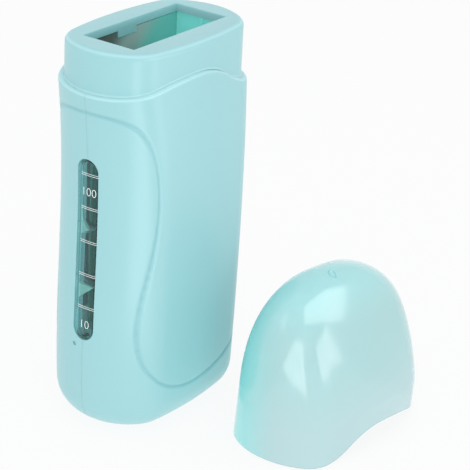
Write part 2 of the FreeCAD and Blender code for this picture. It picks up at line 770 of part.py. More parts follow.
# sprung bridge: a strip pressed over the film, bent down to the two bosses
bridge_half = "(ptc_length / 2 + film_margin)"
foot_end = "(clamp_screw_x + clamp_boss_radius)"
clamp_body = doc.addObject("PartDesign::Body", "clamp_body")
clamp_sketch = new_sketch(clamp_body, "clamp_profile", "XY_Plane", "heater_height - clamp_width / 2")
sketch_rectangle(clamp_sketch, "bridge", f"-{bridge_half}", bridge_half, film_back,
                 f"{film_back} + clamp_thickness")
pad(clamp_body, "clamp_bridge", clamp_sketch, "clamp_width")
for name, sign in (("left", -1), ("right", 1)):
    low, high = (bridge_half, foot_end) if sign > 0 else (f"-{foot_end}", f"-{bridge_half}")
    wing = new_sketch(clamp_body, f"clamp_{name}_wing", "XY_Plane", "heater_height - clamp_width / 2")
    sketch_rectangle(wing, name, low, high, boss_face, f"{film_back} + clamp_thickness")
    pad(clamp_body, f"clamp_{name}_pad", wing, "clamp_width")
relief = new_sketch(clamp_body, "clamp_relief", "XY_Plane", "heater_height - clamp_width / 2")
relief_in = f"({bridge_half} + clamp_thickness)"
for name, low, high in (("left", f"-{foot_end} - overrun", f"-{relief_in}"),
                        ("right", relief_in, f"{foot_end} + overrun")):
    sketch_rectangle(relief, name, low, high, f"{boss_face} + clamp_thickness",
                     f"{film_back} + clamp_thickness + overrun")
relief_cut = clamp_body.newObject("PartDesign::Pocket", "clamp_relief_cut")
relief_cut.Profile = relief
relief_cut.Reversed = True
bind(relief_cut, "Length", "clamp_width")
clamp_holes = [rod(f"clamp_bolt_hole_{number}", ALONG_Y,
                   (f"{sign}clamp_screw_x", f"{boss_face} - overrun", "heater_height"),
                   "clamp_screw_radius + screw_clearance", "clamp_thickness + 2 * overrun")
               for number, sign in enumerate(("-", ""), start=1)]
sub_part(cut("ptc_clamp", clamp_body, *clamp_holes), "ptc_clamp")

clamp_screws = []
for number, sign in enumerate(("-", ""), start=1):
    shank = rod(f"clamp_shank_{number}", ALONG_Y,
                (f"{sign}clamp_screw_x", f"{boss_face} - clamp_screw_reach", "heater_height"),
                "clamp_screw_radius", "clamp_screw_reach + clamp_thickness")
    head = rod(f"clamp_head_{number}", ALONG_Y,
               (f"{sign}clamp_screw_x", f"{boss_face} + clamp_thickness", "heater_height"),
               "clamp_head_radius", "clamp_head_height")
    clamp_screws.append(fuse(f"clamp_screw_{number}", shank, head))
sub_part(group("clamp_screws", *clamp_screws), "clamp_screws")

fuse_axis = f"({outer_y} + fuse_radius)"
sub_part(rod("thermal_fuse", ALONG_X, ("-fuse_length / 2", fuse_axis, "fuse_height"),
             "fuse_radius", "fuse_length"), "thermal_fuse")
clip_outer = "(fuse_radius + fit_gap + fuse_clip_thickness)"
clip_low, clip_high = "-fuse_clip_width / 2", "fuse_clip_width / 2"
clip_block = box("clip_block", (clip_low, clip_high), (outer_y, f"{fuse_axis} + {clip_outer}"),
                 (f"fuse_height - {clip_outer}", f"fuse_height + {clip_outer}"))
clip_feet = box("clip_feet", (clip_low, clip_high), (outer_y, f"{outer_y} + fuse_clip_thickness"),
                (f"fuse_height - 2 * {clip_outer}", f"fuse_height + 2 * {clip_outer}"))
clip_bore = rod("clip_bore", ALONG_X, (f"{clip_low} - overrun", fuse_axis, "fuse_height"),
                "fuse_radius + fit_gap", "fuse_clip_width + 2 * overrun")
clip_throat = box("clip_throat", (f"{clip_low} - overrun", f"{clip_high} + overrun"),
                  (f"{outer_y} - overrun", fuse_axis),
                  ("fuse_height - fuse_radius - fit_gap", "fuse_height + fuse_radius + fit_gap"))
clip_solid = fuse("clip_solid", clip_block, clip_feet)
sub_part(cut("fuse_clip", clip_solid, clip_bore, clip_throat), "fuse_clip")

# ---------------------------------------------------------------- indicator and its board
board_back = f"(-{outer_x})"
board_front = f"({board_back} - board_thickness)"
board_body = doc.addObject("PartDesign::Body", "board_body")
board_sketch = new_sketch(board_body, "board_outline", "YZ_Plane", board_front)
sketch_rectangle(board_sketch, "board", "-board_width / 2", "board_width / 2", "board_bottom",
                 "window_bottom - frame_wall - fit_gap")
pad(board_body, "board_blank", board_sketch, "board_thickness")
board_holes = new_sketch(board_body, "board_holes", "YZ_Plane", board_front)
for name, sign in (("left", "-"), ("right", "")):
    sketch_circle(board_holes, name, f"{sign}board_screw_y", "board_screw_height",
                  "board_screw_radius + screw_clearance")
pocket_through(board_body, "board_hole_cut", board_holes)
sub_part(board_body, "indicator_board")

board_screws = []
for number, sign in enumerate(("-", ""), start=1):
    place_y = f"{sign}board_screw_y"
    shank = rod(f"board_shank_{number}", ALONG_X, (board_front, place_y, "board_screw_height"),
                "board_screw_radius", "board_thickness + board_screw_reach")
    head = rod(f"board_head_{number}", ALONG_X,
               (f"{board_front} - board_head_height", place_y, "board_screw_height"),
               "board_head_radius", "board_head_height")
    board_screws.append(fuse(f"board_screw_{number}", shank, head))
sub_part(group("board_screws", *board_screws), "board_screws")

sub_part(rod("board_resistor", ALONG_Y,
             (f"{board_front} - resistor_radius", "-resistor_length / 2", "resistor_height"),
             "resistor_radius", "resistor_length"), "board_resistor")


def indicator_wall(depth, beside=0.0):
    """Where a face at this depth in the end wall lies, on the indicator's axis or a bit beside it."""
    radius = d.end_bow_radius - depth
    bow = radius - math.sqrt(radius**2 - (d.indicator_y + beside) ** 2)
    return -near_reach(d.indicator_height) + bow + depth


def indicator_flange_start():
    return indicator_wall(d.wall, d.indicator_flange_radius) + d.lap_gap


def along_indicator(radius, start, end):
    axis_start = Vector(start, d.indicator_y, d.indicator_height)
    return Part.makeCylinder(radius, end - start, axis_start, ALONG_X)


def indicator_lens():
    flange_start = indicator_flange_start()
    tip = indicator_wall(2 * d.lap_gap)
    pin = along_indicator(d.indicator_hole_radius - d.lap_gap, tip, flange_start + d.sink)
    flange = along_indicator(d.indicator_flange_radius, flange_start, flange_start + d.indicator_flange)
    return pin.fuse(flange)


def indicator_led():
    tip = indicator_flange_start() + d.indicator_flange + d.lap_gap + d.led_radius
    bulb = Part.makeSphere(d.led_radius, Vector(tip, d.indicator_y, d.indicator_height))
    return along_indicator(d.led_radius, tip, -chamber_end() - d.board_thickness).fuse(bulb)


sub_part(shaped("indicator_lens", indicator_lens()), "indicator_lens")
sub_part(shaped("indicator_led", indicator_led()), "indicator_led")


# ---------------------------------------------------------------- base plate
def base_screw_seat(radius_gap, name, place_x, place_y):
    return taper(name, (place_x, place_y, "0"), f"base_head_radius + {radius_gap}",
                 f"base_screw_radius + {radius_gap}", "base_plate_thickness")


plate_body = doc.addObject("PartDesign::Body", "plate_body")
plate_sketch = new_sketch(plate_body, "plate_outline", "XY_Plane")
sketch_rectangle(plate_sketch, "plate", "-plate_half_length", "plate_half_length", "-plate_half_width",
                 "plate_half_width")
plate_blank = pad(plate_body, "plate_blank", plate_sketch, "base_plate_thickness")
doc.recompute()
plate_fillet = plate_body.newObject("PartDesign::Fillet", "plate_corners")
upright_edges = [f"Edge{index}" for index, edge in enumerate(plate_blank.Shape.Edges, start=1)
                 if abs(edge.tangentAt(edge.FirstParameter).z) > 0.9]
plate_fillet.Base = (plate_blank, upright_edges)
bind(plate_fillet, "Radius", "plate_corner")
seats, base_screws = [], []
for number, (sign_x, sign_y) in enumerate(leg_places, start=1):
    place_x, place_y = f"{sign_x}leg_x", f"{sign_y}leg_y"
    seats.append(base_screw_seat("screw_clearance", f"seat_{number}", place_x, place_y))
    head = base_screw_seat("0", f"base_head_{number}", place_x, place_y)
    shank = rod(f"base_shank_{number}", ALONG_Z, (place_x, place_y, "base_plate_thickness"),
                "base_screw_radius", "base_screw_length")
    base_screws.append(fuse(f"base_screw_{number}", head, shank))
sub_part(cut("base_plate", plate_body, *seats), "base_plate")
sub_part(group("base_screws", *base_screws), "base_screws")


# ---------------------------------------------------------------- mains inlet
def inlet_face():
    return far_reach(d.inlet_height) - d.inlet_inset


def inlet_housing():
    width = d.recess_width + 2 * d.inlet_wall
    height = d.recess_height + 2 * d.inlet_wall
    face, back = inlet_face(), inlet_face() - d.recess_depth
    shell = flat_stadium_prism(d.inlet_height, width, height, back - d.inlet_wall, face)
    shell = shell.common(casing_form(d.inlet_inset, d.inlet_inset, d.body_height))
    recess = flat_stadium_prism(d.inlet_height, d.recess_width, d.recess_height, back, EXCESS)
    margin = 2 * d.inlet_flange_margin
    flange = flat_stadium_prism(d.inlet_height, width + margin, height + margin,
                                back - d.inlet_wall, back - d.inlet_wall + d.inlet_flange)
    holes = [Part.makeCylinder(d.pin_radius, 3 * d.inlet_wall,
                               Vector(back - 2 * d.inlet_wall, y, d.inlet_height), ALONG_X)
             for y in pin_places()]
    return shell.fuse(flange).cut([recess] + holes).removeSplitter()


def pin_places():
    return (-d.pin_spacing / 2, d.pin_spacing / 2)


def inlet_pins():
    back = inlet_face() - d.recess_depth
    start = back - d.inlet_wall - d.pin_tail
    length = d.pin_tail + d.inlet_wall + d.pin_length
    pins = []
    for y in pin_places():
        pin = Part.makeCylinder(d.pin_radius, length, Vector(start, y, d.inlet_height), ALONG_X)
        tip = [edge for edge in pin.Edges if edge.BoundBox.XMin > start + length - ON_FACE]
        pins.append(pin.makeFillet(d.pin_tip_round, tip))
    return Part.makeCompound(pins)


sub_part(shaped("inlet_housing", inlet_housing()), "inlet_housing")
sub_part(shaped("inlet_pins", inlet_pins()), "inlet_pins")


# ---------------------------------------------------------------- wiring
def wire(points, radius, bend):
    """A round wire along straight runs joined by tangent arcs of one bend radius."""
    points = [Vector(*point) for point in points]
    edges, last = [], points[0]
    for before, corner, after in zip(points, points[1:], points[2:]):
        come, leave = (corner - before).normalize(), (after - corner).normalize()
        trim = bend * math.tan(come.getAngle(leave) / 2)
        start, end = corner - come * trim, corner + leave * trim
        middle = corner + (leave - come).normalize() * (bend / math.cos(come.getAngle(leave) / 2) - bend)
        edges += [Part.makeLine(last, start), Part.Arc(start, middle, end).toShape()]
        last = end
    edges.append(Part.makeLine(last, points[-1]))
    path = Part.Wire(edges)
    profile = Part.Wire(Part.makeCircle(radius, points[0], points[1] - points[0]))
    return path.makePipeShell([profile], True, False)


tail_x = inlet_face() - d.recess_depth - d.inlet_wall - d.pin_tail
left_pin, right_pin = pin_places()
fuse_y = chamber_back() + d.fuse_radius
fuse_end = d.fuse_length / 2
terminal_y = chamber_back() + d.ptc_thickness / 2
terminal_x = d.ptc_length / 4
terminal_z = d.heater_height - d.ptc_height / 2

rise_x = tail_x - d.live_setback
live_route = [(tail_x, right_pin, d.inlet_height), (rise_x, right_pin, d.inlet_height),
              (rise_x, fuse_y, d.inlet_height), (rise_x, fuse_y, d.fuse_height),
              (fuse_end, fuse_y, d.fuse_height)]
loop_x = -fuse_end - d.fuse_loop
fuse_route = [(-fuse_end, fuse_y, d.fuse_height), (loop_x, fuse_y, d.fuse_height),
              (loop_x, terminal_y, d.fuse_height + d.fuse_lift),
              (-terminal_x, terminal_y, terminal_z - d.fuse_lead_in), (-terminal_x, terminal_y, terminal_z)]
climb_x, climb_y = tail_x - d.neutral_setback, fuse_y + d.neutral_standoff
neutral_route = [(tail_x, left_pin, d.inlet_height), (climb_x, left_pin, d.inlet_height),
                 (climb_x, climb_y, d.inlet_height), (climb_x, climb_y, d.fuse_height + d.neutral_lift),
                 (terminal_x, terminal_y, terminal_z - d.neutral_lead_in),
                 (terminal_x, terminal_y, terminal_z)]
sub_part(shaped("live_wire", wire(live_route, d.mains_wire_radius, d.mains_bend_radius)), "live_wire")
sub_part(shaped("fuse_lead", wire(fuse_route, d.thin_wire_radius, d.tight_bend_radius)), "fuse_lead")
sub_part(shaped("neutral_wire", wire(neutral_route, d.mains_wire_radius, d.thin_bend_radius)), "neutral_wire")

lead_x, lead_z = tail_x + d.pin_tail / 2, d.board_bottom + d.lead_height
leads = [wire([(lead_x, y, d.inlet_height - d.pin_radius), (lead_x, y, lead_z), (-chamber_end(), y, lead_z)],
              d.thin_wire_radius, d.thin_bend_radius) for y in pin_places()]
sub_part(shaped("indicator_leads", Part.makeCompound(leads)), "indicator_leads")


# ---------------------------------------------------------------- cap
def dome_rise(height, top):
    """How far up the dome a height lies, from 0 at the straight wall's end to 1 at the crown."""
    return max(height - d.cap_straight, 0.0) / (top - d.cap_straight)


def dome_scale(height, power, top):
    """Share of the straight wall's reach that is left at a height in the dome."""
    return math.sqrt(max(1 - dome_rise(height, top) ** power, 0.0))


def cap_section(height, inset, top):
    """The cap's outline at a height; above the straight wall it leans more and more to the inlet end."""
    half_x = half_length - d.cap_draft * height - inset
    half_y = half_width - d.cap_draft * height - inset
    near = half_x * dome_scale(height, d.dome_power_near, top)
    far = half_x * dome_scale(height, d.dome_power_far, top)
    side = half_y * dome_scale(height, d.dome_power_side, top)
    lean = d.crown_shift * dome_rise(height, top) ** d.lean_power
    outline = bowed_rectangle(half_x, half_y, 0, height)
    squeeze = FreeCAD.Matrix()
    squeeze.A11, squeeze.A22 = (near + far) / 2 / half_x, side / half_y
    squeeze.A14 = (far - near) / 2 + lean
    return outline.transformGeometry(squeeze)


def cap_form(inset, top):
    """The cap's solid form from its seat upwards, closed by a small flat crown."""
    foot = -2 * d.far_drop
    heights = [foot, (foot + d.cap_straight) / 2, d.cap_straight]
    crown_share = d.dome_crown / half_width
    last_turn = math.acos(crown_share)
    for step in range(1, DOME_STEPS + 1):
        turn = last_turn * step / DOME_STEPS
        heights.append(d.cap_straight + (top - d.cap_straight) * math.sin(turn) ** (2 / d.dome_power_side))
    return Part.makeLoft([cap_section(height, inset, top) for height in heights], True, False)


def gate_mark(outer):
    """The round mark that the mould's gate leaves beside the crown, curved as the dome is."""
    raised = outer.copy()
    raised.translate(Vector(0, 0, d.gate_height))
    pin = Part.makeCylinder(d.gate_radius, d.cap_height, Vector(d.crown_shift, d.gate_y, d.cap_height / 2))
    return pin.common(raised)


def cap():
    """A dome as thick as the shoulder's step, less the room it needs over the neck."""
    wall = d.step_width - d.cap_clearance
    outer = cap_form(0, d.cap_height)
    inner = cap_form(wall, d.cap_height - wall)
    seat = above_shoulder(0, EXCESS * 2)
    seat.translate(Vector(0, 0, -shoulder_height))
    return outer.fuse(gate_mark(outer)).cut(inner).common(seat)


def standing_place():
    """On the table the cap rocks onto the two low ends of its wavy rim."""
    shape = cap_shape
    near_low = min(vertex.Z for vertex in shape.Vertexes if vertex.X < -half_length / 2)
    far_low = min(vertex.Z for vertex in shape.Vertexes if vertex.X > half_length / 2)
    tilt = -math.degrees(math.atan2(near_low - far_low, 2 * half_length))
    turned = Rotation(ALONG_Z, d.cap_turn) * Rotation(ALONG_Y, tilt)
    lying = shape.copy()
    lying.Placement = FreeCAD.Placement(Vector(), turned)
    return FreeCAD.Placement(Vector(d.cap_x, d.cap_y, -lying.optimalBoundingBox().ZMin), turned)


cap_shape = cap()
cap_object = shaped("cap", cap_shape)
cap_object.Placement = standing_place()
sub_part(cap_object, "cap")

# ---------------------------------------------------------------- checks and export
doc.recompute()
for obj in doc.Objects:
    if "Invalid" in obj.State or "Error" in obj.State:
        raise RuntimeError(f"{obj.Name} did not compute: {obj.State}")
os.makedirs("parts", exist_ok=True)
for obj in sub_parts:
    if obj.Shape.isNull() or not obj.Shape.isValid():
        raise RuntimeError(f"{obj.Label} has no valid shape")
    obj.Shape.exportStep(f"parts/{obj.Label}.step")
    extent = obj.Shape.optimalBoundingBox()
    print(f"{obj.Label:18s} {len(obj.Shape.Solids)} solids {obj.Shape.Volume:10.1f} mm3  "
          f"x {extent.XMin:7.2f} {extent.XMax:7.2f}  y {extent.YMin:7.2f} {extent.YMax:7.2f}  "
          f"z {extent.ZMin:7.2f} {extent.ZMax:7.2f}")
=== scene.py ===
# %% [markdown]
# # Dressing a roll-on wax heater
#
# A construction model of the heater comes in as a fixed frame: two casing shells, a neck collar, a heated
# chamber, the electrical parts inside, and a lift-off cap that stands beside it. This lesson gives each of
# those parts the surface it has on the real object, adds the level scale, and sets up a pale studio.

# %% Load the frame
import math

import bpy
from mathutils import Matrix, Vector
from mathutils.kdtree import KDTree


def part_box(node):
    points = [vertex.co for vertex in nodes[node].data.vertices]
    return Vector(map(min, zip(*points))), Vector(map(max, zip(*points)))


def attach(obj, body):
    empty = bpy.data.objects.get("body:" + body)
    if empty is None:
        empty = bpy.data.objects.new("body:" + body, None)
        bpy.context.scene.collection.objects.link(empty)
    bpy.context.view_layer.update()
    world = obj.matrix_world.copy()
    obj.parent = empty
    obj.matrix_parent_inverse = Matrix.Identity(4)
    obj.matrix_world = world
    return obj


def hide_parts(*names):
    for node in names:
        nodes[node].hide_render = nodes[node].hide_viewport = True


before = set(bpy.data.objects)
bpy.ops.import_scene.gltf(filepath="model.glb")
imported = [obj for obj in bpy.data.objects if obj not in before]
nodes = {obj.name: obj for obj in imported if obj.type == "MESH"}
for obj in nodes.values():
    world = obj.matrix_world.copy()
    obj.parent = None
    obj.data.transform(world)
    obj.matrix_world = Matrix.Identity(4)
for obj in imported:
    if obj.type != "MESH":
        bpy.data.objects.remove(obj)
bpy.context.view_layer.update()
MM = 0.001

# %% [markdown]
# ## The camera
# The camera comes first, because everything else is judged through it. A long lens keeps the upright
# edges nearly parallel, as in a catalogue. A tracking constraint could aim it, but would keep it level, and
# this camera leans a little. So its place is given in four plain measures: how far round the object, how
# high, how far away, and how much the camera is rolled about its own axis.

# %% The camera
CAMERA_AIM = Vector((27.565, -21.885, 67.63)) * MM
CAMERA_DISTANCE = 708.768 * MM
CAMERA_AROUND, CAMERA_ABOVE, CAMERA_ROLL = (math.radians(v) for v in (-55.212, 24.393, 3.237))
CAMERA_LENS, CAMERA_SEES_FROM, CAMERA_SEES_TO = 136.41, 0.01, 20

back = Vector((math.sin(CAMERA_AROUND) * math.cos(CAMERA_ABOVE),
               -math.cos(CAMERA_AROUND) * math.cos(CAMERA_ABOVE), math.sin(CAMERA_ABOVE)))
level_right = Vector((math.cos(CAMERA_AROUND), math.sin(CAMERA_AROUND), 0))
level_up = back.cross(level_right)
right = level_right * math.cos(CAMERA_ROLL) + level_up * math.sin(CAMERA_ROLL)
up = back.cross(right)

scene = bpy.context.scene
camera_data = bpy.data.cameras.new("studio_camera")
camera_data.lens = CAMERA_LENS
camera_data.clip_start, camera_data.clip_end = CAMERA_SEES_FROM, CAMERA_SEES_TO
camera = bpy.data.objects.new("studio_camera", camera_data)
camera.matrix_world = (Matrix.Translation(CAMERA_AIM + back * CAMERA_DISTANCE)
                       @ Matrix((right, up, back)).transposed().to_4x4())
scene.collection.objects.link(camera)
scene.camera = camera
print("camera at", [round(v, 3) for v in camera.location])


# %% [markdown]
# ## Building with nodes
# Materials and the world are trees of nodes. Writing them one socket at a time hides what they do, so two
# helpers say it in few words: one makes a node with its settings, and one feeds its inputs, by a link where
# another node's output is given and by a plain value otherwise.

# %% Helpers for nodes
def feed(node, values):
    """Feeds a node's inputs, each by its title or number, with another node's output or a plain value."""
    for title, value in values.items():
        if isinstance(value, bpy.types.NodeSocket):
            node.id_data.links.new(value, node.inputs[title])
        else:
            node.inputs[title].default_value = value


def new_node(tree, kind, values=(), **settings):
    """A shader node of a kind, with its settings, and with its inputs fed."""
    node = tree.nodes.new("ShaderNode" + kind)
    for name, setting in settings.items():
        setattr(node, name, setting)
    feed(node, dict(values))
    return node


def math_node(tree, operation, *values):
    return new_node(tree, "Math", enumerate(values), operation=operation).outputs[0]


# %% [markdown]
# ## The studio
# The heater stands on a white sweep in a light tent. A backdrop could be lit until it is white, but the pale
# walls would wash out with it. So the world is a soft light on surfaces, and plain white only where the
# camera, a reflection or clear plastic looks at it. The floor glows nearly white and keeps a faint shadow.

# %% The world
AMBIENT, AMBIENT_TINT, WHITE = 0.84, (0.96, 0.98, 1.0, 1), (1, 1, 1, 1)


def sees_background(tree):
    """A value that is 1 for rays that should meet plain white: seen directly, mirrored or through glass."""
    path = new_node(tree, "LightPath")
    seen = math_node(tree, "MAXIMUM", path.outputs["Is Camera Ray"], path.outputs["Is Glossy Ray"])
    return math_node(tree, "MAXIMUM", seen, path.outputs["Is Transmission Ray"])


scene.view_settings.view_transform = "Standard"
scene.world = bpy.data.worlds.new("light_tent")
scene.world.use_nodes = True
tree = scene.world.node_tree
tree.nodes.clear()
ambient = new_node(tree, "Background", {"Color": AMBIENT_TINT, "Strength": AMBIENT})
plain_white = new_node(tree, "Background", {"Color": WHITE, "Strength": 1.0})
tent = new_node(tree, "MixShader", {"Fac": sees_background(tree), 1: ambient.outputs[0],
                                    2: plain_white.outputs[0]})
new_node(tree, "OutputWorld", {"Surface": tent.outputs[0]})
print("world:", scene.world.name, "at strength", AMBIENT)

# %% The floor
FLOOR_SIZE, FLOOR_DROP, FLOOR_GLOW, PAPER = 6, 0.0002, 0.88, (0.9, 0.9, 0.9, 1)


def deselect():
    bpy.ops.object.select_all(action="DESELECT")


deselect()
bpy.ops.mesh.primitive_plane_add(size=FLOOR_SIZE, location=(0, 0, -FLOOR_DROP))
floor = bpy.context.object
floor.name = "studio_floor"
floor_paint = bpy.data.materials.new("white_sweep")
floor_paint.use_nodes = True
tree = floor_paint.node_tree
tree.nodes.clear()
paper = new_node(tree, "BsdfDiffuse", {"Color": PAPER})
glow = new_node(tree, "Emission")
sweep = new_node(tree, "MixShader", {"Fac": FLOOR_GLOW, 1: paper.outputs[0], 2: glow.outputs[0]})
new_node(tree, "OutputMaterial", {"Surface": sweep.outputs[0]})
floor.data.materials.append(floor_paint)
print("floor:", FLOOR_SIZE, "m wide")


# %% [markdown]
# ## The lamps
# Three broad soft panels shape the walls. The glossy dome also shows soft, window-like highlights. Stronger
# panels would give it some, but would burn out the walls, so three small cards do it. Only glossy surfaces
# see the cards, and they light nothing else.

# %% Panels
def area_lamp(name, width, height, power):
    """A rectangular lamp; its size is in metres."""
    data = bpy.data.lights.new(name, "AREA")
    data.shape = "RECTANGLE"
    data.size, data.size_y = width, height
    data.energy = power
    lamp = bpy.data.objects.new(name, data)
    scene.collection.objects.link(lamp)
    return lamp


def panel(name, place, aim, size, power, tint=(1, 1, 1)):
    """A soft lamp at a place, turned to face a point, both in millimetres."""
    lamp = area_lamp(name, *(side * MM for side in size), power)
    lamp.data.color = tint
    lamp.location = Vector(place) * MM
    lamp.rotation_euler = (Vector(aim) * MM - lamp.location).to_track_quat("-Z", "Y").to_euler()
    return lamp


overhead = panel("overhead_panel", place=(-300, -200, 850), aim=(0, 0, 60), size=(700, 700), power=0.8,
                 tint=(0.97, 0.98, 1.0))
panel("left_panel", place=(-800, 100, 500), aim=(0, 0, 70), size=(300, 400), power=0.3)
front = panel("front_panel", place=(-330, -560, 130), aim=(0, -20, 30), size=(400, 200), power=0.64)
for lamp in (overhead, front):
    lamp.visible_glossy = False
print("overhead panel at", [round(v, 3) for v in overhead.location])

# %% Cards for the dome's highlights
GLINT = 2.1


def glint_card(name, centre, across, upward):
    """A bright card that only glossy surfaces see, given by its middle and two sides in millimetres."""
    across, upward = Vector(across) * MM, Vector(upward) * MM
    card = area_lamp(name, across.length, upward.length, GLINT * math.pi * across.length * upward.length)
    first = across.normalized()
    facing_away = upward.cross(first).normalized()
    second = facing_away.cross(first)
    card.matrix_world = (Matrix.Translation(Vector(centre) * MM)
                         @ Matrix((first, second, facing_away)).transposed().to_4x4())
    card.visible_diffuse = False
    card.visible_transmission = False
    print(f"{name}: {across.length / MM:.0f} x {upward.length / MM:.0f} mm")


glint_card("high_card", centre=(46, -237, 171), across=(-289, 21, 97), upward=(37, 66, 81))
glint_card("low_card", centre=(55, -253, 46), across=(-127, 0, -13), upward=(35, 5, 57))
glint_card("side_card", centre=(-140, -161, 52), across=(-68, 58, 10), upward=(-85, -133, 103))

# %% [markdown]
# ## The plastics' shared surface
# Moulded ABS is not one flat colour: the mould leaves a very fine grain, handling leaves roughness that
# varies slowly, and pale pigment settles a little unevenly. Painted textures could show that, but they need
# unwrapping and go soft close up. So one node group makes all three from noise in space, for every piece,
# and each material sets its own amounts.

# %% A shader group for moulded plastic
CLOUD_SCALE, SMEAR_SCALE = 28.0, 75.0
CLOUD_DETAIL, SMEAR_DETAIL, GRAIN_DETAIL = 3.0, 5.0, 1.0
GROUP_INPUTS = {"Color": (0.8, 0.8, 0.8, 1), "Unevenness": 0.03, "Roughness": 0.3, "Roughness Change": 0.06,
                "Grain Height": 0.00001, "Grain Size": 2200.0}


def socket_kind(title):
    return "NodeSocketColor" if title == "Color" else "NodeSocketFloat"


def noise(tree, where, scale, detail):
    values = {"Vector": where, "Scale": scale, "Detail": detail}
    return new_node(tree, "TexNoise", values).outputs["Fac"]


moulded = bpy.data.node_groups.new("moulded_surface", "ShaderNodeTree")
for title, value in GROUP_INPUTS.items():
    socket = moulded.interface.new_socket(title, in_out="INPUT", socket_type=socket_kind(title))
    socket.default_value = value
for title in ("Color", "Roughness", "Grain"):
    moulded.interface.new_socket(title, in_out="OUTPUT", socket_type=socket_kind(title))
given = moulded.nodes.new("NodeGroupInput").outputs
place = new_node(moulded, "TexCoord").outputs["Object"]
clouds = math_node(moulded, "SUBTRACT", noise(moulded, place, CLOUD_SCALE, CLOUD_DETAIL), 0.5)
lighter = math_node(moulded, "MULTIPLY_ADD", clouds, given["Unevenness"], 1.0)
tinted = new_node(moulded, "VectorMath", {0: given["Color"], "Scale": lighter}, operation="SCALE")
smears = math_node(moulded, "SUBTRACT", noise(moulded, place, SMEAR_SCALE, SMEAR_DETAIL), 0.5)
change = math_node(moulded, "MULTIPLY", smears, given["Roughness Change"])
grain = noise(moulded, place, given["Grain Size"], GRAIN_DETAIL)
feed(moulded.nodes.new("NodeGroupOutput"), {
    "Color": tinted.outputs[0], "Roughness": math_node(moulded, "ADD", change, given["Roughness"]),
    "Grain": math_node(moulded, "MULTIPLY", grain, given["Grain Height"])})
print("moulded_surface takes", ", ".join(GROUP_INPUTS))


# %% Materials made with the group
def new_material(name):
    material = bpy.data.materials.new(name)
    material.use_nodes = True
    return material, material.node_tree, material.node_tree.nodes["Principled BSDF"]


def grouped_material(name, values):
    """A material whose colour and roughness come from the group."""
    material, tree, shader = new_material(name)
    surface = new_node(tree, "Group", values, name="surface", node_tree=moulded)
    feed(shader, {"Base Color": surface.outputs["Color"], "Roughness": surface.outputs["Roughness"]})
    return material, tree, shader


def repaint(tree, color):
    """Gives the group in a material a colour that changes over the surface."""
    feed(tree.nodes["surface"], {"Color": color})


def add_bump(tree, shader, height, strength, distance):
    bump = new_node(tree, "Bump", {"Strength": strength, "Distance": distance, "Height": height})
    feed(shader, {"Normal": bump.outputs["Normal"]})


def moulded_plastic(name, color, roughness):
    """A plastic with the group's own fine grain."""
    material, tree, shader = grouped_material(name, {"Color": color, "Roughness": roughness})
    add_bump(tree, shader, tree.nodes["surface"].outputs["Grain"], strength=0.5, distance=1.0)
    return material, tree, shader


def linear(red, green, blue):
    """A colour written as 0 to 255, as the renderer's own linear values."""
    def straighten(value):
        value /= 255
        return value / 12.92 if value <= 0.04045 else ((value + 0.055) / 1.055) ** 2.4
    return (straighten(red), straighten(green), straighten(blue), 1)


inlet_plastic, _, _ = moulded_plastic("black_inlet_plastic", linear(28, 29, 30), 0.45)
indicator_plastic, _, _ = moulded_plastic("frosted_indicator_plastic", linear(140, 190, 196), 0.35)
print("made", inlet_plastic.name, "and", indicator_plastic.name)

# %% [markdown]
# ## The casing plastic
# The casing has shade painted into its pressed groove, a little darker, and highlights painted paler along
# its outer edges. A shader can look for edges by itself, but it finds all of them. Two values stored on the
# mesh say exactly where the colour changes. A little light also scatters under the surface.


# %% Colours that change over a surface
def stored_value(tree, name):
    """A value that the mesh holds on its points."""
    return new_node(tree, "Attribute", attribute_name=name).outputs["Fac"]


def blend_colors(tree, factor, first, second):
    """The first colour where the factor is 0, and the second where it is 1."""
    mix = new_node(tree, "Mix", {}, data_type="RGBA")
    feed(mix, {"Factor": factor, "A": first, "B": second})
    return mix.outputs["Result"]


def climb_along(tree, direction, start, stop):
    """A value that climbs smoothly from 0 to 1 between two distances along a direction, in metres."""
    place = new_node(tree, "TexCoord").outputs["Object"]
    along = new_node(tree, "VectorMath", {0: place, 1: direction}, operation="DOT_PRODUCT")
    ramp = new_node(tree, "MapRange", {"Value": along.outputs["Value"], "From Min": start, "From Max": stop},
                    interpolation_type="SMOOTHSTEP")
    return ramp.outputs["Result"]


# %% The casing plastic
# The groove's darker colour is painted shade, and the paler edge colour is a painted highlight.
CASING_AQUA, GROOVE_SHADE_AQUA, HIGHLIGHT_AQUA = linear(161, 213, 217), linear(146, 203, 208), linear(208, 250, 254)

casing_plastic, tree, shader = moulded_plastic("aqua_casing_plastic", CASING_AQUA, 0.34)
groove_shade = blend_colors(tree, stored_value(tree, "pressed"), CASING_AQUA, GROOVE_SHADE_AQUA)
repaint(tree, blend_colors(tree, stored_value(tree, "painted_edge_highlight"), groove_shade, HIGHLIGHT_AQUA))
feed(shader, {"Subsurface Weight": 0.12, "Subsurface Radius": (0.4, 0.9, 1.0), "Subsurface Scale": 0.003})
print("made", casing_plastic.name)

# %% [markdown]
# ## The chamber's plastics
# The chamber is a thin teal moulding. Daylight soaks through the pale neck into its upper inlet end, so that
# end glows faintly while the rest stays dim. Tracing that light through two walls is slow and noisy, so a
# weak emission stands for it. The surround behind the window has the dim chamber's shade painted into it as
# a dark smoky tone, and painted light makes it paler near the chamber's floor, where light falls in through
# the window. The two level arrows in the window are a lighter teal, with a faint painted glow.

# %% Chamber, window surround and arrows
TOWARDS_INLET, TOWARDS_REAR, UPWARDS = (1, 0, 0), (0, 1, 0), (0, 0, 1)
CHAMBER_TEAL, CHAMBER_GLOW, SOAKED_GLOW = linear(110, 197, 191), 0.09, 0.4
SOAKED_X, SOAKED_Z = (0.012, 0.026), (0.118, 0.140)
SURROUND_SHADE, SURROUND_LIT_FOOT, SURROUND_LIT_FOOT_Z = linear(122, 160, 165), linear(190, 236, 236), (0.0490, 0.0505)
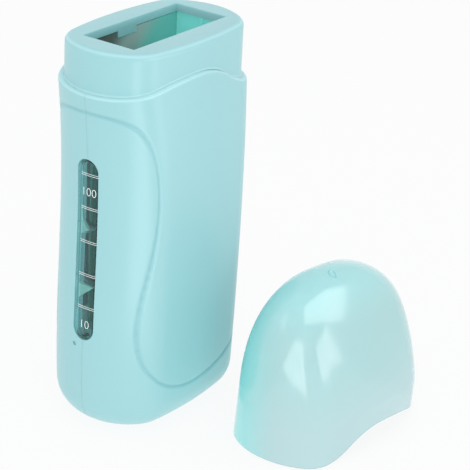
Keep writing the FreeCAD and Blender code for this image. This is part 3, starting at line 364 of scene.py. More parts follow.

# Painted light: the whole chamber glows faintly, and more at its upper inlet end.
chamber_plastic, tree, shader = moulded_plastic("teal_chamber_plastic", CHAMBER_TEAL, 0.28)
soaked = math_node(tree, "MULTIPLY", climb_along(tree, TOWARDS_INLET, *SOAKED_X),
                   climb_along(tree, UPWARDS, *SOAKED_Z))
feed(shader, {"Emission Strength": math_node(tree, "MULTIPLY_ADD", soaked, SOAKED_GLOW, CHAMBER_GLOW),
              "Emission Color": CHAMBER_TEAL})

# Painted shade: the surround is a dark smoky tone for the dim chamber behind it, and painted light makes it
# paler low down.
surround_plastic, tree, _ = moulded_plastic("shaded_surround_plastic", SURROUND_SHADE, 0.3)
repaint(tree, blend_colors(tree, climb_along(tree, UPWARDS, *SURROUND_LIT_FOOT_Z), SURROUND_LIT_FOOT, SURROUND_SHADE))

# The arrows' faint emission is painted light, so that they show in the dim window.
arrow_plastic, _, shader = moulded_plastic("teal_arrow_plastic", linear(165, 224, 216), 0.3)
feed(shader, {"Emission Color": linear(120, 190, 182), "Emission Strength": 0.12})
print("made", chamber_plastic.name, surround_plastic.name, "and", arrow_plastic.name)

# %% [markdown]
# ## See-through plastics
# The cap lets light through but blurs what lies behind it. Clear glass would show the floor through it, so
# it is a rough, only partly clear plastic under a glossier coat. Its colour has light and shade painted in:
# paler and greyer low down as painted light, and deeper towards the heater as painted shade, where less
# light reaches it; its tint also deepens towards the crown, and a faint emission lightens it all over as
# painted light. The window is clear and faintly smoky, and its rear side wall gathers light and shows as a
# teal band.

# %% The cap's plastic
# Painted light and shade: the cap is paler low down, and deeper on the side towards the heater.
CAP_LIT_LOW, CAP_MIDDLE, CAP_LOW_Z = linear(195, 220, 223), linear(186, 221, 222), (0.010, 0.040)
CAP_CROWN, CAP_CROWN_Z = linear(184, 232, 233), (0.048, 0.068)
CAP_MARK = linear(112, 208, 208)
CAP_SHADED, CAP_SHADED_SIDE, CAP_SHADED_REACH = linear(146, 246, 243), (-0.57, 0.82, 0), (-0.054, -0.030)

cap_plastic, tree, shader = grouped_material(
    "translucent_cap_plastic", {"Unevenness": 0.02, "Roughness": 0.17, "Roughness Change": 0.03})
upright = blend_colors(tree, climb_along(tree, UPWARDS, *CAP_LOW_Z), CAP_LIT_LOW, CAP_MIDDLE)
crowned = blend_colors(tree, climb_along(tree, UPWARDS, *CAP_CROWN_Z), upright, CAP_CROWN)
marked = blend_colors(tree, stored_value(tree, "gate_ring"), crowned, CAP_MARK)
repaint(tree, blend_colors(tree, climb_along(tree, CAP_SHADED_SIDE, *CAP_SHADED_REACH), marked, CAP_SHADED))
# The faint emission is painted light.
feed(shader, {"IOR": 1.46, "Transmission Weight": 0.3, "Coat Weight": 0.8, "Coat Roughness": 0.11,
              "Emission Color": linear(120, 215, 215), "Emission Strength": 0.08})
print("made", cap_plastic.name)

# %% The window's plastic
EDGE_GLOW, EDGE_GLOW_Y, EDGE_GLOW_TINT = 0.10, (0.0026, 0.0034), (0.38, 0.95, 1.0, 1)

window_plastic, tree, shader = new_material("smoky_window_plastic")
gathered = math_node(tree, "MULTIPLY", climb_along(tree, TOWARDS_REAR, *EDGE_GLOW_Y), EDGE_GLOW)
feed(shader, {"Base Color": linear(214, 232, 232), "Roughness": 0.04, "IOR": 1.35,
              "Transmission Weight": 1.0, "Emission Strength": gathered, "Emission Color": EDGE_GLOW_TINT})
print("made", window_plastic.name)

# %% [markdown]
# ## Metals and small parts
# The parts inside are metals, ceramics and wire insulation. Rolled sheet has fine drawn lines, which are
# noise stretched along the sheet. The heated plate mirrors the opening in slanting bands: dull, rosy and
# aqua. A perfectly flat sheet mirrors them too evenly, so they are blended into its colour.

# %% Plain finishes
STREAK_SCALE, STREAK_DETAIL, STREAK_STRETCH, STREAK_HEIGHT = 900.0, 3.0, (1.0, 1.0, 0.02), 0.0001


def plain_finish(name, color, roughness, metallic=0.0, streaks=0.0):
    """A finish with slow changes in roughness, and with fine drawn lines where streaks is above 0."""
    values = {"Color": color, "Roughness": roughness, "Roughness Change": 0.12}
    material, tree, shader = grouped_material(name, values)
    feed(shader, {"Metallic": metallic})
    if streaks:
        place = new_node(tree, "TexCoord").outputs["Object"]
        drawn = new_node(tree, "Mapping", {"Vector": place, "Scale": STREAK_STRETCH}).outputs[0]
        add_bump(tree, shader, noise(tree, drawn, STREAK_SCALE, STREAK_DETAIL), streaks, STREAK_HEIGHT)
    return material


SLANT = (1, 0, -0.9)
DULL_METAL, ROSY_METAL, AQUA_METAL = linear(156, 124, 120), linear(246, 205, 204), linear(176, 218, 212)
ROSY_FROM, AQUA_FROM = (-0.146, -0.134), (-0.130, -0.116)

rolled_aluminium = plain_finish("rolled_aluminium", linear(182, 170, 160), 0.12, 0.7, 0.35)
tree = rolled_aluminium.node_tree
rosy = blend_colors(tree, climb_along(tree, SLANT, *ROSY_FROM), DULL_METAL, ROSY_METAL)
repaint(tree, blend_colors(tree, climb_along(tree, SLANT, *AQUA_FROM), rosy, AQUA_METAL))
print("made", rolled_aluminium.name)

# %% Finishes of the carried-over nodes
# Each has a colour and a roughness; metals are also told how metallic they are, and how streaked.
finishes = {
    "heater_plate": rolled_aluminium,
    "ptc_element": plain_finish("fired_ceramic", linear(214, 205, 186), 0.6),
    "ptc_insulator": plain_finish("amber_film", linear(196, 130, 44), 0.25),
    "ptc_clamp": plain_finish("spring_steel", linear(160, 161, 164), 0.3, 1.0, 0.2),
    "clamp_screws": plain_finish("zinc_steel", linear(178, 180, 182), 0.3, 1.0),
    "thermal_fuse": plain_finish("drawn_can", linear(190, 190, 192), 0.25, 1.0),
    "indicator_board": plain_finish("green_laminate", linear(38, 96, 58), 0.35),
    "board_resistor": plain_finish("resistor_body", linear(206, 190, 150), 0.45),
    "inlet_pins": plain_finish("nickel_pins", linear(196, 192, 180), 0.2, 1.0),
    "live_wire": plain_finish("brown_insulation", linear(110, 66, 38), 0.45),
    "neutral_wire": plain_finish("blue_insulation", linear(46, 90, 158), 0.45),
    "fuse_lead": plain_finish("white_insulation", linear(226, 226, 224), 0.5),
    "indicator_led": indicator_plastic,
    "base_plate": casing_plastic,
}
for alike, original in (("fuse_clip", "ptc_clamp"), ("board_screws", "clamp_screws"),
                        ("base_screws", "clamp_screws"), ("indicator_leads", "fuse_lead")):
    finishes[alike] = finishes[original]
for name, material in finishes.items():
    nodes[name].data.materials.clear()
    nodes[name].data.materials.append(material)
print("finished", len(finishes), "carried-over nodes")

# %% [markdown]
# ## The casing's outline
# Seen from above, the casing is a bowed rectangle: long shallow arcs on its sides, rounder arcs on its
# ends and small arcs at its corners, all tangent. A free curve could trace it, but on tangent arcs every
# outward direction belongs to exactly one point. A direction and an inset then place a point on any wall.

# %% The outline
NECK_END, NECK_SIDE = 40.66, 25.14
SIDE_BOW, END_BOW, CORNER_BOW = 153.4, 28.25, 16.8
HAIR = 1e-9


def outline_arcs(half_x, half_y):
    """The end, corner and side arcs of a quarter: centre, radius and the direction where each one stops."""
    end_x, side_y = half_x - END_BOW, half_y - SIDE_BOW
    apart = math.hypot(end_x, side_y)
    side_left, end_left = SIDE_BOW - CORNER_BOW, END_BOW - CORNER_BOW
    along = (side_left**2 - end_left**2 + apart**2) / (2 * apart)
    across = math.sqrt(side_left**2 - along**2)
    unit_x, unit_y = end_x / apart, -side_y / apart
    corner_x = along * unit_x + across * unit_y
    corner_y = side_y + along * unit_y - across * unit_x
    end_stop = math.atan2(corner_y, corner_x - end_x)
    side_start = math.atan2(corner_y - side_y, corner_x)
    return (((end_x, 0.0), END_BOW, end_stop), ((corner_x, corner_y), CORNER_BOW, side_start),
            ((0.0, side_y), SIDE_BOW, math.pi / 2))


def outline_point(arcs, direction, inset):
    """Where the outline, moved in by inset, faces a direction given as an angle from +X."""
    cosine, sine = math.cos(direction), math.sin(direction)
    quarter = math.atan2(abs(sine), abs(cosine))
    for centre, radius, stop in arcs:
        if quarter <= stop + HAIR:
            break
    x = centre[0] + (radius - inset) * math.cos(quarter)
    y = centre[1] + (radius - inset) * math.sin(quarter)
    return math.copysign(x, cosine), math.copysign(y, sine)


corner_spans = [round(math.degrees(arc[2]), 1) for arc in outline_arcs(NECK_END, NECK_SIDE)]
print("the outline's arcs stop at", corner_spans, "degrees")


# %% Directions round the outline
def evenly(start, stop, steps):
    """Values in equal steps from start to stop, with both of them."""
    return [start + (stop - start) * step / steps for step in range(steps + 1)]


def directions(count):
    """Directions from the window end round the front to the inlet end, evenly spaced along the outline."""
    spans, start = [], 0.0
    for _, radius, stop in outline_arcs(NECK_END, NECK_SIDE):
        spans.append((radius, start, stop))
        start = stop
    quarter_length = sum(radius * (stop - start) for radius, start, stop in spans)
    angles = []
    for left in evenly(0, quarter_length, count):
        for radius, start, stop in spans:
            if left <= radius * (stop - start) + HAIR:
                break
            left -= radius * (stop - start)
        angles.append(start + left / radius)
    window_half = [math.pi + angle for angle in angles]
    inlet_half = [2 * math.pi - angle for angle in reversed(angles)]
    return window_half + inlet_half[1:]


print("five directions along the front:", [round(math.degrees(angle)) for angle in directions(2)])

# %% [markdown]
# ## How the casing swells and where its shoulder runs
# The walls lean out towards the foot and draw in at the waist. Each is one smooth curve through a few
# widths, because a moulded wall has no kinks. The shoulder where the neck comes out is a slow wave of
# circular arcs: high in the middle of the front, lower at the window end, lowest at the inlet.

# %% The casing's form
NECK_HEIGHT = 17.5
BODY_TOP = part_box("neck_collar")[1].z / MM
SHOULDER = BODY_TOP - NECK_HEIGHT
WALL, FLOOR_THICKNESS, FOOT_ROUND, SHOULDER_ROUND = 2.4, 3.6, 13.5, 1.4
NEAR_SWELL = ((0, -2.64), (1 / 3, -1.4), (2 / 3, -2.69), (1, 0.0))
FAR_SWELL = ((0, -1.9), (1 / 2, 0.6), (1, 0.0))
SIDE_SWELL = ((0, 1.9), (1 / 2, 2.14), (1, 0.0))
casing_levels = {}


def swell(points, share):
    """The value at a share of the shoulder's height of the one curve through (share, value) points."""
    total = 0.0
    for place, value in points:
        weight = 1.0
        for other, _ in points:
            if other != place:
                weight *= (share - other) / (place - other)
        total += weight * value
    return total


def casing_point(direction, level, inset):
    """A point of the casing's wall, moved in by inset, at one level; in millimetres."""
    key = round(level, 4)
    if key not in casing_levels:
        share = level / SHOULDER
        near, far = NECK_END + swell(NEAR_SWELL, share), NECK_END + swell(FAR_SWELL, share)
        arcs = outline_arcs((near + far) / 2, NECK_SIDE + swell(SIDE_SWELL, share))
        casing_levels[key] = (arcs, (far - near) / 2)
    arcs, shift = casing_levels[key]
    x, y = outline_point(arcs, direction, inset)
    return x + shift, y


widest = NECK_SIDE + swell(SIDE_SWELL, 1 / 2)
print("shoulder at", round(SHOULDER, 1), "mm, half width at the middle", round(widest, 2), "mm")

# %% The shoulder's wave
CREST_X, CREST_RISE = -3.2, 5.75
NEAR_TROUGH_X, FAR_TROUGH_X, FAR_DROP = -54.0, 33.6, 5.2


def shoulder_line(x):
    """Height of the wavy shoulder over a place along the body."""
    crest, far = (CREST_X, SHOULDER + CREST_RISE), (FAR_TROUGH_X, SHOULDER - FAR_DROP)
    if x >= FAR_TROUGH_X:
        return far[1]
    start, end = ((NEAR_TROUGH_X, SHOULDER), crest) if x < CREST_X else (crest, far)
    run, rise = end[0] - start[0], end[1] - start[1]
    radius = (run**2 + rise**2) / (4 * abs(rise))
    if x - start[0] < run / 2:
        return start[1] + math.copysign(radius - math.sqrt(radius**2 - (x - start[0]) ** 2), rise)
    return end[1] - math.copysign(radius - math.sqrt(radius**2 - (end[0] - x) ** 2), rise)


print("shoulder's ends at", [round(shoulder_line(sign * NECK_END), 1) for sign in (-1, 1)], "mm")

# %% [markdown]
# ## The styling groove
# A shallow groove frames the front and the rear face. A swept bar could cut it, but would leave sharp
# edges. Here its middle line is a smooth curve through a few points, and the wall is pressed in wherever it
# lies close to that line, deepest in the middle, so that the groove has soft lips like a moulded one.

# %% The groove's line
GROOVE_NEAR = ((-3.0, 132.6), (0.9, 132.2), (7.2, 128.9), (14.0, 116.1), (16.2, 99.0), (13.2, 71.0),
               (9.6, 46.0), (13.4, 28.0), (26.0, 18.4))
GROOVE_FAR = ((36.0, 17.2), (18.0, 22.5), (6.0, 31.0), (-3.0, 40.0))
GROOVE_STEPS = 200


def smooth_line(points, steps):
    """Points along the smoothest curve through the given ones: a natural cubic over their chord lengths."""
    count = len(points)
    spans = [math.dist(first, second) for first, second in zip(points, points[1:])]
    bends = []
    for axis in (0, 1):
        values = [point[axis] for point in points]
        slopes = [(b - a) / span for a, b, span in zip(values, values[1:], spans)]
        diagonal, right_side = [1.0], [0.0]
        for index in range(1, count - 1):
            factor = spans[index - 1] / diagonal[-1] if index > 1 else 0.0
            diagonal.append(2 * (spans[index - 1] + spans[index]) - factor * spans[index - 1])
            right_side.append(6 * (slopes[index] - slopes[index - 1]) - factor * right_side[-1])
        bend = [0.0] * count
        for index in range(count - 2, 0, -1):
            bend[index] = (right_side[index] - spans[index] * bend[index + 1]) / diagonal[index]
        bends.append(bend)
    line = []
    for index, span in enumerate(spans):
        for step in range(steps):
            ahead = step / steps
            behind = 1 - ahead
            line.append([behind * points[index][axis] + ahead * points[index + 1][axis]
                         + ((behind**3 - behind) * bends[axis][index]
                            + (ahead**3 - ahead) * bends[axis][index + 1]) * span**2 / 6
                         for axis in (0, 1)])
    return line


groove_points = [(x - NECK_END, z) for x, z in GROOVE_NEAR] + [(NECK_END - x, z) for x, z in GROOVE_FAR]
groove_line = smooth_line(groove_points, GROOVE_STEPS)
print("groove:", len(groove_line), "points along it")

# %% How deep the groove is at a place
GROOVE_HALF, GROOVE_DEPTH = 1.15, 0.5

groove_tree = KDTree(len(groove_line))
for index, (x, z) in enumerate(groove_line):
    groove_tree.insert((x, 0, z), index)
groove_tree.balance()


def groove_press(x, z):
    """How far the wall is pressed in at a place, seen from the front."""
    distance = groove_tree.find((x, 0, z))[2]
    if distance >= GROOVE_HALF:
        return 0.0
    return GROOVE_DEPTH * (0.5 + 0.5 * math.cos(math.pi * distance / GROOVE_HALF))


print("pressed in", round(groove_press(*groove_points[0]), 2), "mm on its line")


# %% [markdown]
# ## Wrapping a grid round a form
# A wall with compound curves could be cut from solids, but its long triangles would ripple under a gloss.
# So it is made from a flat grid. One side of the grid runs round the object and the other runs up the wall,
# over its rim and down its inner face. Moving each corner to its place gives even four-sided faces. Holes
# are cut afterwards with Boolean modifiers, which leave the rest of the wall as it is.

# %% A grid wrapped round a form
MICRON = 0.000001


def edit_whole(operator, **settings):
    """Runs a mesh operator on every corner of the active mesh."""
    bpy.ops.object.mode_set(mode="EDIT")
    bpy.ops.mesh.select_mode(type="VERT")
    bpy.ops.mesh.select_all(action="SELECT")
    operator(**settings)
    bpy.ops.object.mode_set(mode="OBJECT")


def wrapped_grid(name, columns, profile, closed=True):
    """A grid whose corner (column, row) lies at profile(column)[row]; points are in millimetres."""
    places = [profile(column) for column in columns]
    rows = len(places[0])
    deselect()
    bpy.ops.mesh.primitive_grid_add(x_subdivisions=len(columns) - 1, y_subdivisions=rows - 1, size=1)
    piece = bpy.context.object
    piece.name = name
    for vertex in piece.data.vertices:
        column = round((vertex.co.x + 0.5) * (len(columns) - 1))
        row = round((vertex.co.y + 0.5) * (rows - 1))
        vertex.co = Vector(places[column][row]) * MM
    if closed:
        edit_whole(bpy.ops.mesh.remove_doubles, threshold=MICRON)
    return piece


# %% Closing what stays open
SAME_LEVEL = 0.001


def edge_uses(mesh):
    """How many faces use each edge of a mesh."""
    uses = {}
    for face in mesh.polygons:
        for key in face.edge_keys:
            uses[key] = uses.get(key, 0) + 1
    return uses


def select_parts(mesh, kind, chosen):
    """Selects the edges or faces of the active mesh that a test picks, and stays in edit mode."""
    bpy.ops.object.mode_set(mode="EDIT")
    bpy.ops.mesh.select_mode(type=kind)
    bpy.ops.mesh.select_all(action="DESELECT")
    bpy.ops.object.mode_set(mode="OBJECT")
    for part in mesh.edges if kind == "EDGE" else mesh.polygons:
        part.select = chosen(part)
    bpy.ops.object.mode_set(mode="EDIT")


def fill_open_edges(piece, levels=(), rest=False):
    """Closes the openings at the given levels, then the rest if asked, and turns the faces outwards."""
    mesh = piece.data

    def fill(keep):
        uses = edge_uses(mesh)

        def is_open_here(edge):
            heights = [mesh.vertices[index].co.z / MM for index in edge.vertices]
            return uses.get(edge.key) == 1 and all(keep(height) for height in heights)

        select_parts(mesh, "EDGE", is_open_here)
        bpy.ops.mesh.edge_face_add()
        bpy.ops.object.mode_set(mode="OBJECT")

    for level in levels:
        fill(lambda height: abs(height - level) < SAME_LEVEL)
    if rest:
        fill(lambda height: True)
    edit_whole(bpy.ops.mesh.normals_make_consistent, inside=False)


# %% Cutting and finishing
def pick(*pieces):
    """Selects pieces alone, and makes the first of them active."""
    deselect()
    for piece in pieces:
        piece.select_set(True)
    bpy.context.view_layer.objects.active = pieces[0]


def carve(piece, *cutters, operation="DIFFERENCE"):
    """Cuts other meshes out of a piece, or joins them to it, and removes them."""
    for cutter in cutters:
        pick(piece)
        modifier = piece.modifiers.new("carve", "BOOLEAN")
        modifier.operation = operation
        modifier.object = cutter
        modifier.solver = "EXACT"
        bpy.ops.object.modifier_apply(modifier="carve")
        bpy.data.objects.remove(cutter)


def finish_piece(piece, material, slot, *replaced, body="heater", angle=32):
    """Smooth shading except at real edges, a finish, and the body that the piece moves with."""
    pick(piece)
    bpy.ops.object.shade_smooth_by_angle(angle=math.radians(angle))
    piece.data.materials.clear()
    piece.data.materials.append(material)
    if replaced:
        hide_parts(*replaced)
    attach(piece, body)
    triangles = sum(len(face.vertices) - 2 for face in piece.data.polygons)
    open_edges = sum(1 for count in edge_uses(piece.data).values() if count != 2)
    print(f"{piece.name}: {triangles} triangles, {open_edges} open edges")


# %% Bars and rods to cut with
ON_THE_AXIS = 1e-7


def round_ended_bar(length_axis, centre, width, length, start_x, end_x):
    """A bar along X whose section is a slot with round ends, lengthened along Y or Z."""
    deselect()
    bpy.ops.mesh.primitive_cylinder_add(vertices=96, radius=width / 2 * MM, depth=(end_x - start_x) * MM,
                                        location=(0, 0, 0), rotation=(0, math.pi / 2, 0))
    bar = bpy.context.object
    bpy.ops.object.transform_apply(location=False, rotation=True, scale=False)
    stretch = (length - width) / 2 * MM
    axis = "XYZ".index(length_axis)
    for vertex in bar.data.vertices:
        if abs(vertex.co[axis]) > ON_THE_AXIS:
            vertex.co[axis] += math.copysign(stretch, vertex.co[axis])
    bar.data.transform(Matrix.Translation(Vector(((start_x + end_x) / 2, *centre)) * MM))
    return bar


def upright_rod(radius, x, y, low, high):
    """A rod along Z between two heights."""
    deselect()
    bpy.ops.mesh.primitive_cylinder_add(vertices=48, radius=radius * MM, depth=(high - low) * MM,
                                        location=Vector((x, y, (low + high) / 2)) * MM)
    bpy.ops.object.transform_apply(location=True, rotation=True, scale=True)
    return bpy.context.object


# %% Blocks to cut with
def block(x, y, z, upright_round=0.0):
    """A block between pairs of planes, with its upright edges rounded."""
    deselect()
    centre = Vector([(low + high) / 2 for low, high in (x, y, z)]) * MM
    bpy.ops.mesh.primitive_cube_add(size=1, location=centre)
    piece = bpy.context.object
    piece.scale = Vector([high - low for low, high in (x, y, z)]) * MM
    bpy.ops.object.transform_apply(location=True, rotation=True, scale=True)
    if upright_round:
        corners = piece.data.vertices

        def is_upright(edge):
            low, high = (corners[index].co.z for index in edge.vertices)
            return abs(high - low) > MICRON

        select_parts(piece.data, "EDGE", is_upright)
        bpy.ops.mesh.bevel(offset=upright_round * MM, segments=12)
        bpy.ops.mesh.select_mode(type="VERT")
        bpy.ops.object.mode_set(mode="OBJECT")
    return piece


# %% [markdown]
# ## The two casing shells
# The casing is moulded as a front and a rear shell that meet on a fine parting line along both narrow
# ends. The grid starts under the foot, turns up round it, climbs the wall, rolls over the rim of the
# shoulder and comes back down inside, so each shell is a real wall with a thickness. A Solidify modifier
# could thicken an outer skin, but would repeat the groove and the rounded rim on the inside.

# %% One strip of a shell
CELL = 0.5
CLIMB_STEPS = round((SHOULDER - FOOT_ROUND) / CELL)
FOOT_STEPS, RIM_STEPS, INNER_STEPS, INNER_FOOT_STEPS = 14, 7, 24, 8


def quarter_turn(steps, start=1):
    """Angles in equal steps over a quarter turn; start is 0 where the first angle is wanted too."""
    return evenly(0, math.radians(90), steps)[start:]


def quarter_round(radius, steps, start=1):
    """The two distances, one growing and one shrinking, of each point round a rounded edge."""
    return [(radius * (1 - math.cos(turn)), radius * (1 - math.sin(turn)))
            for turn in quarter_turn(steps, start)]


def casing_profile(direction, edge_press, side):
    """One upright strip of a shell: foot, outer wall, rim, inner wall, inner floor."""
    points = []

    def add(level, inset, height):
        x, y = casing_point(direction, level, inset)
        points.append((x, y * side, height))

    for height, inset in quarter_round(FOOT_ROUND, FOOT_STEPS, start=0):
        add(FOOT_ROUND, inset + edge_press, height)
    rim = shoulder_line(casing_point(direction, SHOULDER, 0)[0])
    for height in evenly(FOOT_ROUND, rim - SHOULDER_ROUND, CLIMB_STEPS)[1:]:
        x, _ = casing_point(direction, height, 0)
        add(height, groove_press(x, height) + edge_press, height)
    for inset, drop in quarter_round(SHOULDER_ROUND, RIM_STEPS):
        add(rim - drop, max(inset, edge_press), rim - drop)
    add(rim, WALL, rim)
    inner_round = FOOT_ROUND - WALL
    for height in evenly(rim, FLOOR_THICKNESS + inner_round, INNER_STEPS)[1:]:
        add(height, WALL, height)
    for inset, height in quarter_round(inner_round, INNER_FOOT_STEPS):
        add(FLOOR_THICKNESS + inner_round, WALL + inset, FLOOR_THICKNESS + height)
    return points


print("a strip climbs the outer wall in", CLIMB_STEPS, "steps")

# %% Where the strips stand
SHELL_COLUMNS, PARTING_GAP = 110, 0.05
PARTING_EDGE = ((0.0, 0.05), (0.08, 0.015), (0.2, 0.0))


def parting_columns(count):
    """Directions of a shell's strips with how far each is pressed in, set close together at the parting."""
    even = directions(count)
    fine = [(even[0] + (PARTING_GAP / 2 + away) / END_BOW, press) for away, press in PARTING_EDGE]
    middle = [(angle, 0.0) for angle in even[2:-2]]
    return fine + middle + [(3 * math.pi - angle, press) for angle, press in reversed(fine)]


shell_columns = parting_columns(SHELL_COLUMNS)
print("a shell has", len(shell_columns), "strips")

# %% What is cut out of the shells
WINDOW_LOW, WINDOW_HIGH, WINDOW_WIDTH = 39.3, 113.5, 9.8
INDICATOR_Y, INDICATOR_Z, INDICATOR_HOLE = 4.0, 36.4, 0.8
INLET_Z, INLET_HOLE_WIDTH, INLET_HOLE_HEIGHT = 26.0, 19.4, 11.6
SCREW_HOLE, SCREW_X, SCREW_Y = 1.5, 18, 8.4
SEAT_GAP, SEAT_ROUND = 0.1, 4.0
BEYOND, BELOW, ABOVE_FLOOR = 60.0, -5, 8
plate_low, plate_high = (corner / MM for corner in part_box("base_plate"))


def shell_cutters(side):
    """What makes the window's slot, the inlet's hole, the base plate's seat and the small holes."""
    cutters = [
        round_ended_bar("Z", (0, (WINDOW_LOW + WINDOW_HIGH) / 2), WINDOW_WIDTH, WINDOW_HIGH - WINDOW_LOW,
                        -BEYOND, 0),
        round_ended_bar("Y", (0, INLET_Z), INLET_HOLE_HEIGHT, INLET_HOLE_WIDTH, 0, BEYOND),
        block((plate_low.x - SEAT_GAP, plate_high.x + SEAT_GAP),
              (plate_low.y - SEAT_GAP, plate_high.y + SEAT_GAP), (BELOW, plate_high.z), SEAT_ROUND),
    ]
    if side < 0:
        cutters.append(round_ended_bar("Z", (INDICATOR_Y, INDICATOR_Z), 2 * INDICATOR_HOLE,
                                       2 * INDICATOR_HOLE, -BEYOND, 0))
    cutters += [upright_rod(SCREW_HOLE, x, y, BELOW, ABOVE_FLOOR)
                for x in (-SCREW_X, SCREW_X) for y in (-SCREW_Y, SCREW_Y) if y * side < 0]
    return cutters


print("the base plate's seat is", round(plate_high.z, 2), "mm deep")

# %% The two shells
# PALEST caps the painted highlights; PRESSED_SHADE sets how dark the painted groove shade gets.
PALEST = 0.45
RIM_LIT_BELOW, RIM_LIT_FADE, PRESSED_SHADE = 1.1, 0.8, 1.5


def mark_points(piece, name, value_at):
    """Stores a value from 0 to 1 on every point of a piece, for its material to read."""
    marks = piece.data.attributes.new(name, "FLOAT", "POINT")
    for vertex, mark in zip(piece.data.vertices, marks.data):
        mark.value = min(max(value_at(*(vertex.co / MM)), 0.0), 1.0)


def rim_highlight(x, y, z):
    """Paler along the rim of the shoulder: a painted highlight."""
    return min(PALEST, (z - shoulder_line(x) + RIM_LIT_BELOW) / RIM_LIT_FADE)


for name, node, side in (("front_casing", "front_shell", 1), ("rear_casing", "rear_shell", -1)):
    shell = wrapped_grid(name, shell_columns, lambda column: casing_profile(*column, side), closed=False)
    fill_open_edges(shell, levels=(0.0, FLOOR_THICKNESS), rest=True)
    carve(shell, *shell_cutters(side))
    # Painted shade along the groove, and a painted highlight along the shoulder's rim.
    mark_points(shell, "pressed", lambda x, y, z: PRESSED_SHADE * groove_press(x, z) / GROOVE_DEPTH)
    mark_points(shell, "painted_edge_highlight", rim_highlight)
    finish_piece(shell, casing_plastic, "casing_plastic", node)

# %% [markdown]
# ## The neck
# The neck is a separate moulding that comes up through the shoulder. It stays a piece of its own here too,
# because the fine line between the two only looks right as a real gap. Its flat top has a wide soft edge, a
# small cove runs round its foot, and the cartridge goes in through a sharp-cornered opening whose own edge
# is only just broken.

# %% The neck's outside
STEP, NECK_DRAFT, NECK_ROUND, NECK_COVE = 2.1, 0.003, 2.5, 0.45
LAP_GAP, SKIRT_DEPTH, SKIRT_GAP = 0.03, 12.5, 0.1
SKIRT_FOOT, SKIRT_OUTSIDE = SHOULDER - SKIRT_DEPTH, WALL + SKIRT_GAP
SKIRT_STEPS, COVE_STEPS, NECK_STEPS, EDGE_STEPS, NECK_COLUMNS = 8, 4, 24, 12, 90
neck_arcs = outline_arcs(NECK_END, NECK_SIDE)


def neck_point(direction, height, inset):
    return (*outline_point(neck_arcs, direction, inset + STEP + NECK_DRAFT * (height - SHOULDER)), height)


def within_casing(direction, height, inset):
    """A point moved in from the casing's wall or from the straight neck, whichever lies further in."""
    waist = casing_point(direction, min(height, SHOULDER), inset)
    straight = outline_point(neck_arcs, direction, inset + NECK_DRAFT * (height - SHOULDER))
    x, y = (math.copysign(min(abs(first), abs(second)), second) for first, second in zip(waist, straight))
    return x, y, height


def neck_profile(direction):
    """One strip of the neck's outside: skirt in the casing, step at the shoulder, neck, top edge."""
    rim = shoulder_line(casing_point(direction, SHOULDER, 0)[0]) + LAP_GAP
    points = [within_casing(direction, height, SKIRT_OUTSIDE)
              for height in evenly(SKIRT_FOOT, rim, SKIRT_STEPS)]
    points += [neck_point(direction, rim + rise, -out)
               for rise, out in quarter_round(NECK_COVE, COVE_STEPS, start=0)[:-1]]
    points += [neck_point(direction, height, 0)
               for height in evenly(rim + NECK_COVE, BODY_TOP - NECK_ROUND, NECK_STEPS)]
    points += [neck_point(direction, BODY_TOP - drop, inset)
               for inset, drop in quarter_round(NECK_ROUND, EDGE_STEPS)]
    return points


def full_turn(count):
    """Directions all the way round the outline."""
    front = directions(count)
    return front + [2 * math.pi + (angle - math.pi) for angle in front[1:]]


neck = wrapped_grid("neck", full_turn(NECK_COLUMNS), neck_profile)
fill_open_edges(neck, levels=(SKIRT_FOOT, BODY_TOP))
print("neck:", len(neck.data.polygons), "faces before it is hollowed")

# %% The neck's hollow
NECK_WALL, LIP_DEPTH, HOLLOW_BELOW, HOLLOW_STEPS, HOLLOW_COLUMNS = 1.3, 3.3, 2, 15, 45
LIP_UNDERSIDE = BODY_TOP - LIP_DEPTH


def hollow_profile(direction):
    """One strip of the hollow, from below the skirt up to the underside of the lip."""
    heights = [SKIRT_FOOT - HOLLOW_BELOW + step for step in range(HOLLOW_STEPS)] + [LIP_UNDERSIDE]
    return [within_casing(direction, height, SKIRT_OUTSIDE + NECK_WALL) for height in heights]


hollow = wrapped_grid("hollow", full_turn(HOLLOW_COLUMNS), hollow_profile)
fill_open_edges(hollow, levels=(SKIRT_FOOT - HOLLOW_BELOW, LIP_UNDERSIDE))
print("hollow:", round(hollow.dimensions.z / MM, 1), "mm high")

# %% The opening
OPENING_X, OPENING_Y, OPENING_EDGE, OPENING_REACH, OPENING_STEPS = 27.75, 11.9, 0.35, 8, 4
FACING_UP = 0.9


def opening_cutter():
    """A block as large as the opening whose upper end flares out along a small round."""
    cutter = block((-OPENING_X, OPENING_X), (-OPENING_Y, OPENING_Y),
                   (BODY_TOP - OPENING_REACH, BODY_TOP - OPENING_EDGE))
    select_parts(cutter.data, "FACE", lambda face: face.normal.z > FACING_UP)
    rise, out = 0.0, 0.0
    for turn in quarter_turn(OPENING_STEPS) + [None]:
        new_rise = OPENING_EDGE * math.sin(turn) if turn else rise + 1
        new_out = OPENING_EDGE * (1 - math.cos(turn)) if turn else out
        bpy.ops.mesh.extrude_region_move(TRANSFORM_OT_translate={"value": (0, 0, (new_rise - rise) * MM)})
        bpy.ops.transform.resize(value=((OPENING_X + new_out) / (OPENING_X + out),
                                        (OPENING_Y + new_out) / (OPENING_Y + out), 1))
        rise, out = new_rise, new_out
    bpy.ops.mesh.select_mode(type="VERT")
    bpy.ops.object.mode_set(mode="OBJECT")
    return cutter


carve(neck, hollow, opening_cutter())
print("neck:", len(neck.data.polygons), "faces once the opening is cut")

# %% The tab under the lip, and the painted edge highlights
TAB_X, TAB_WIDTH, TAB_DEPTH, TAB_THICKNESS = -2.2, 10.7, 2.6, 0.7
FOOT_LIT_ABOVE, FOOT_LIT_FADE, EDGE_LIT_BELOW, EDGE_LIT_FADE = 0.7, 0.4, 0.8, 1.5


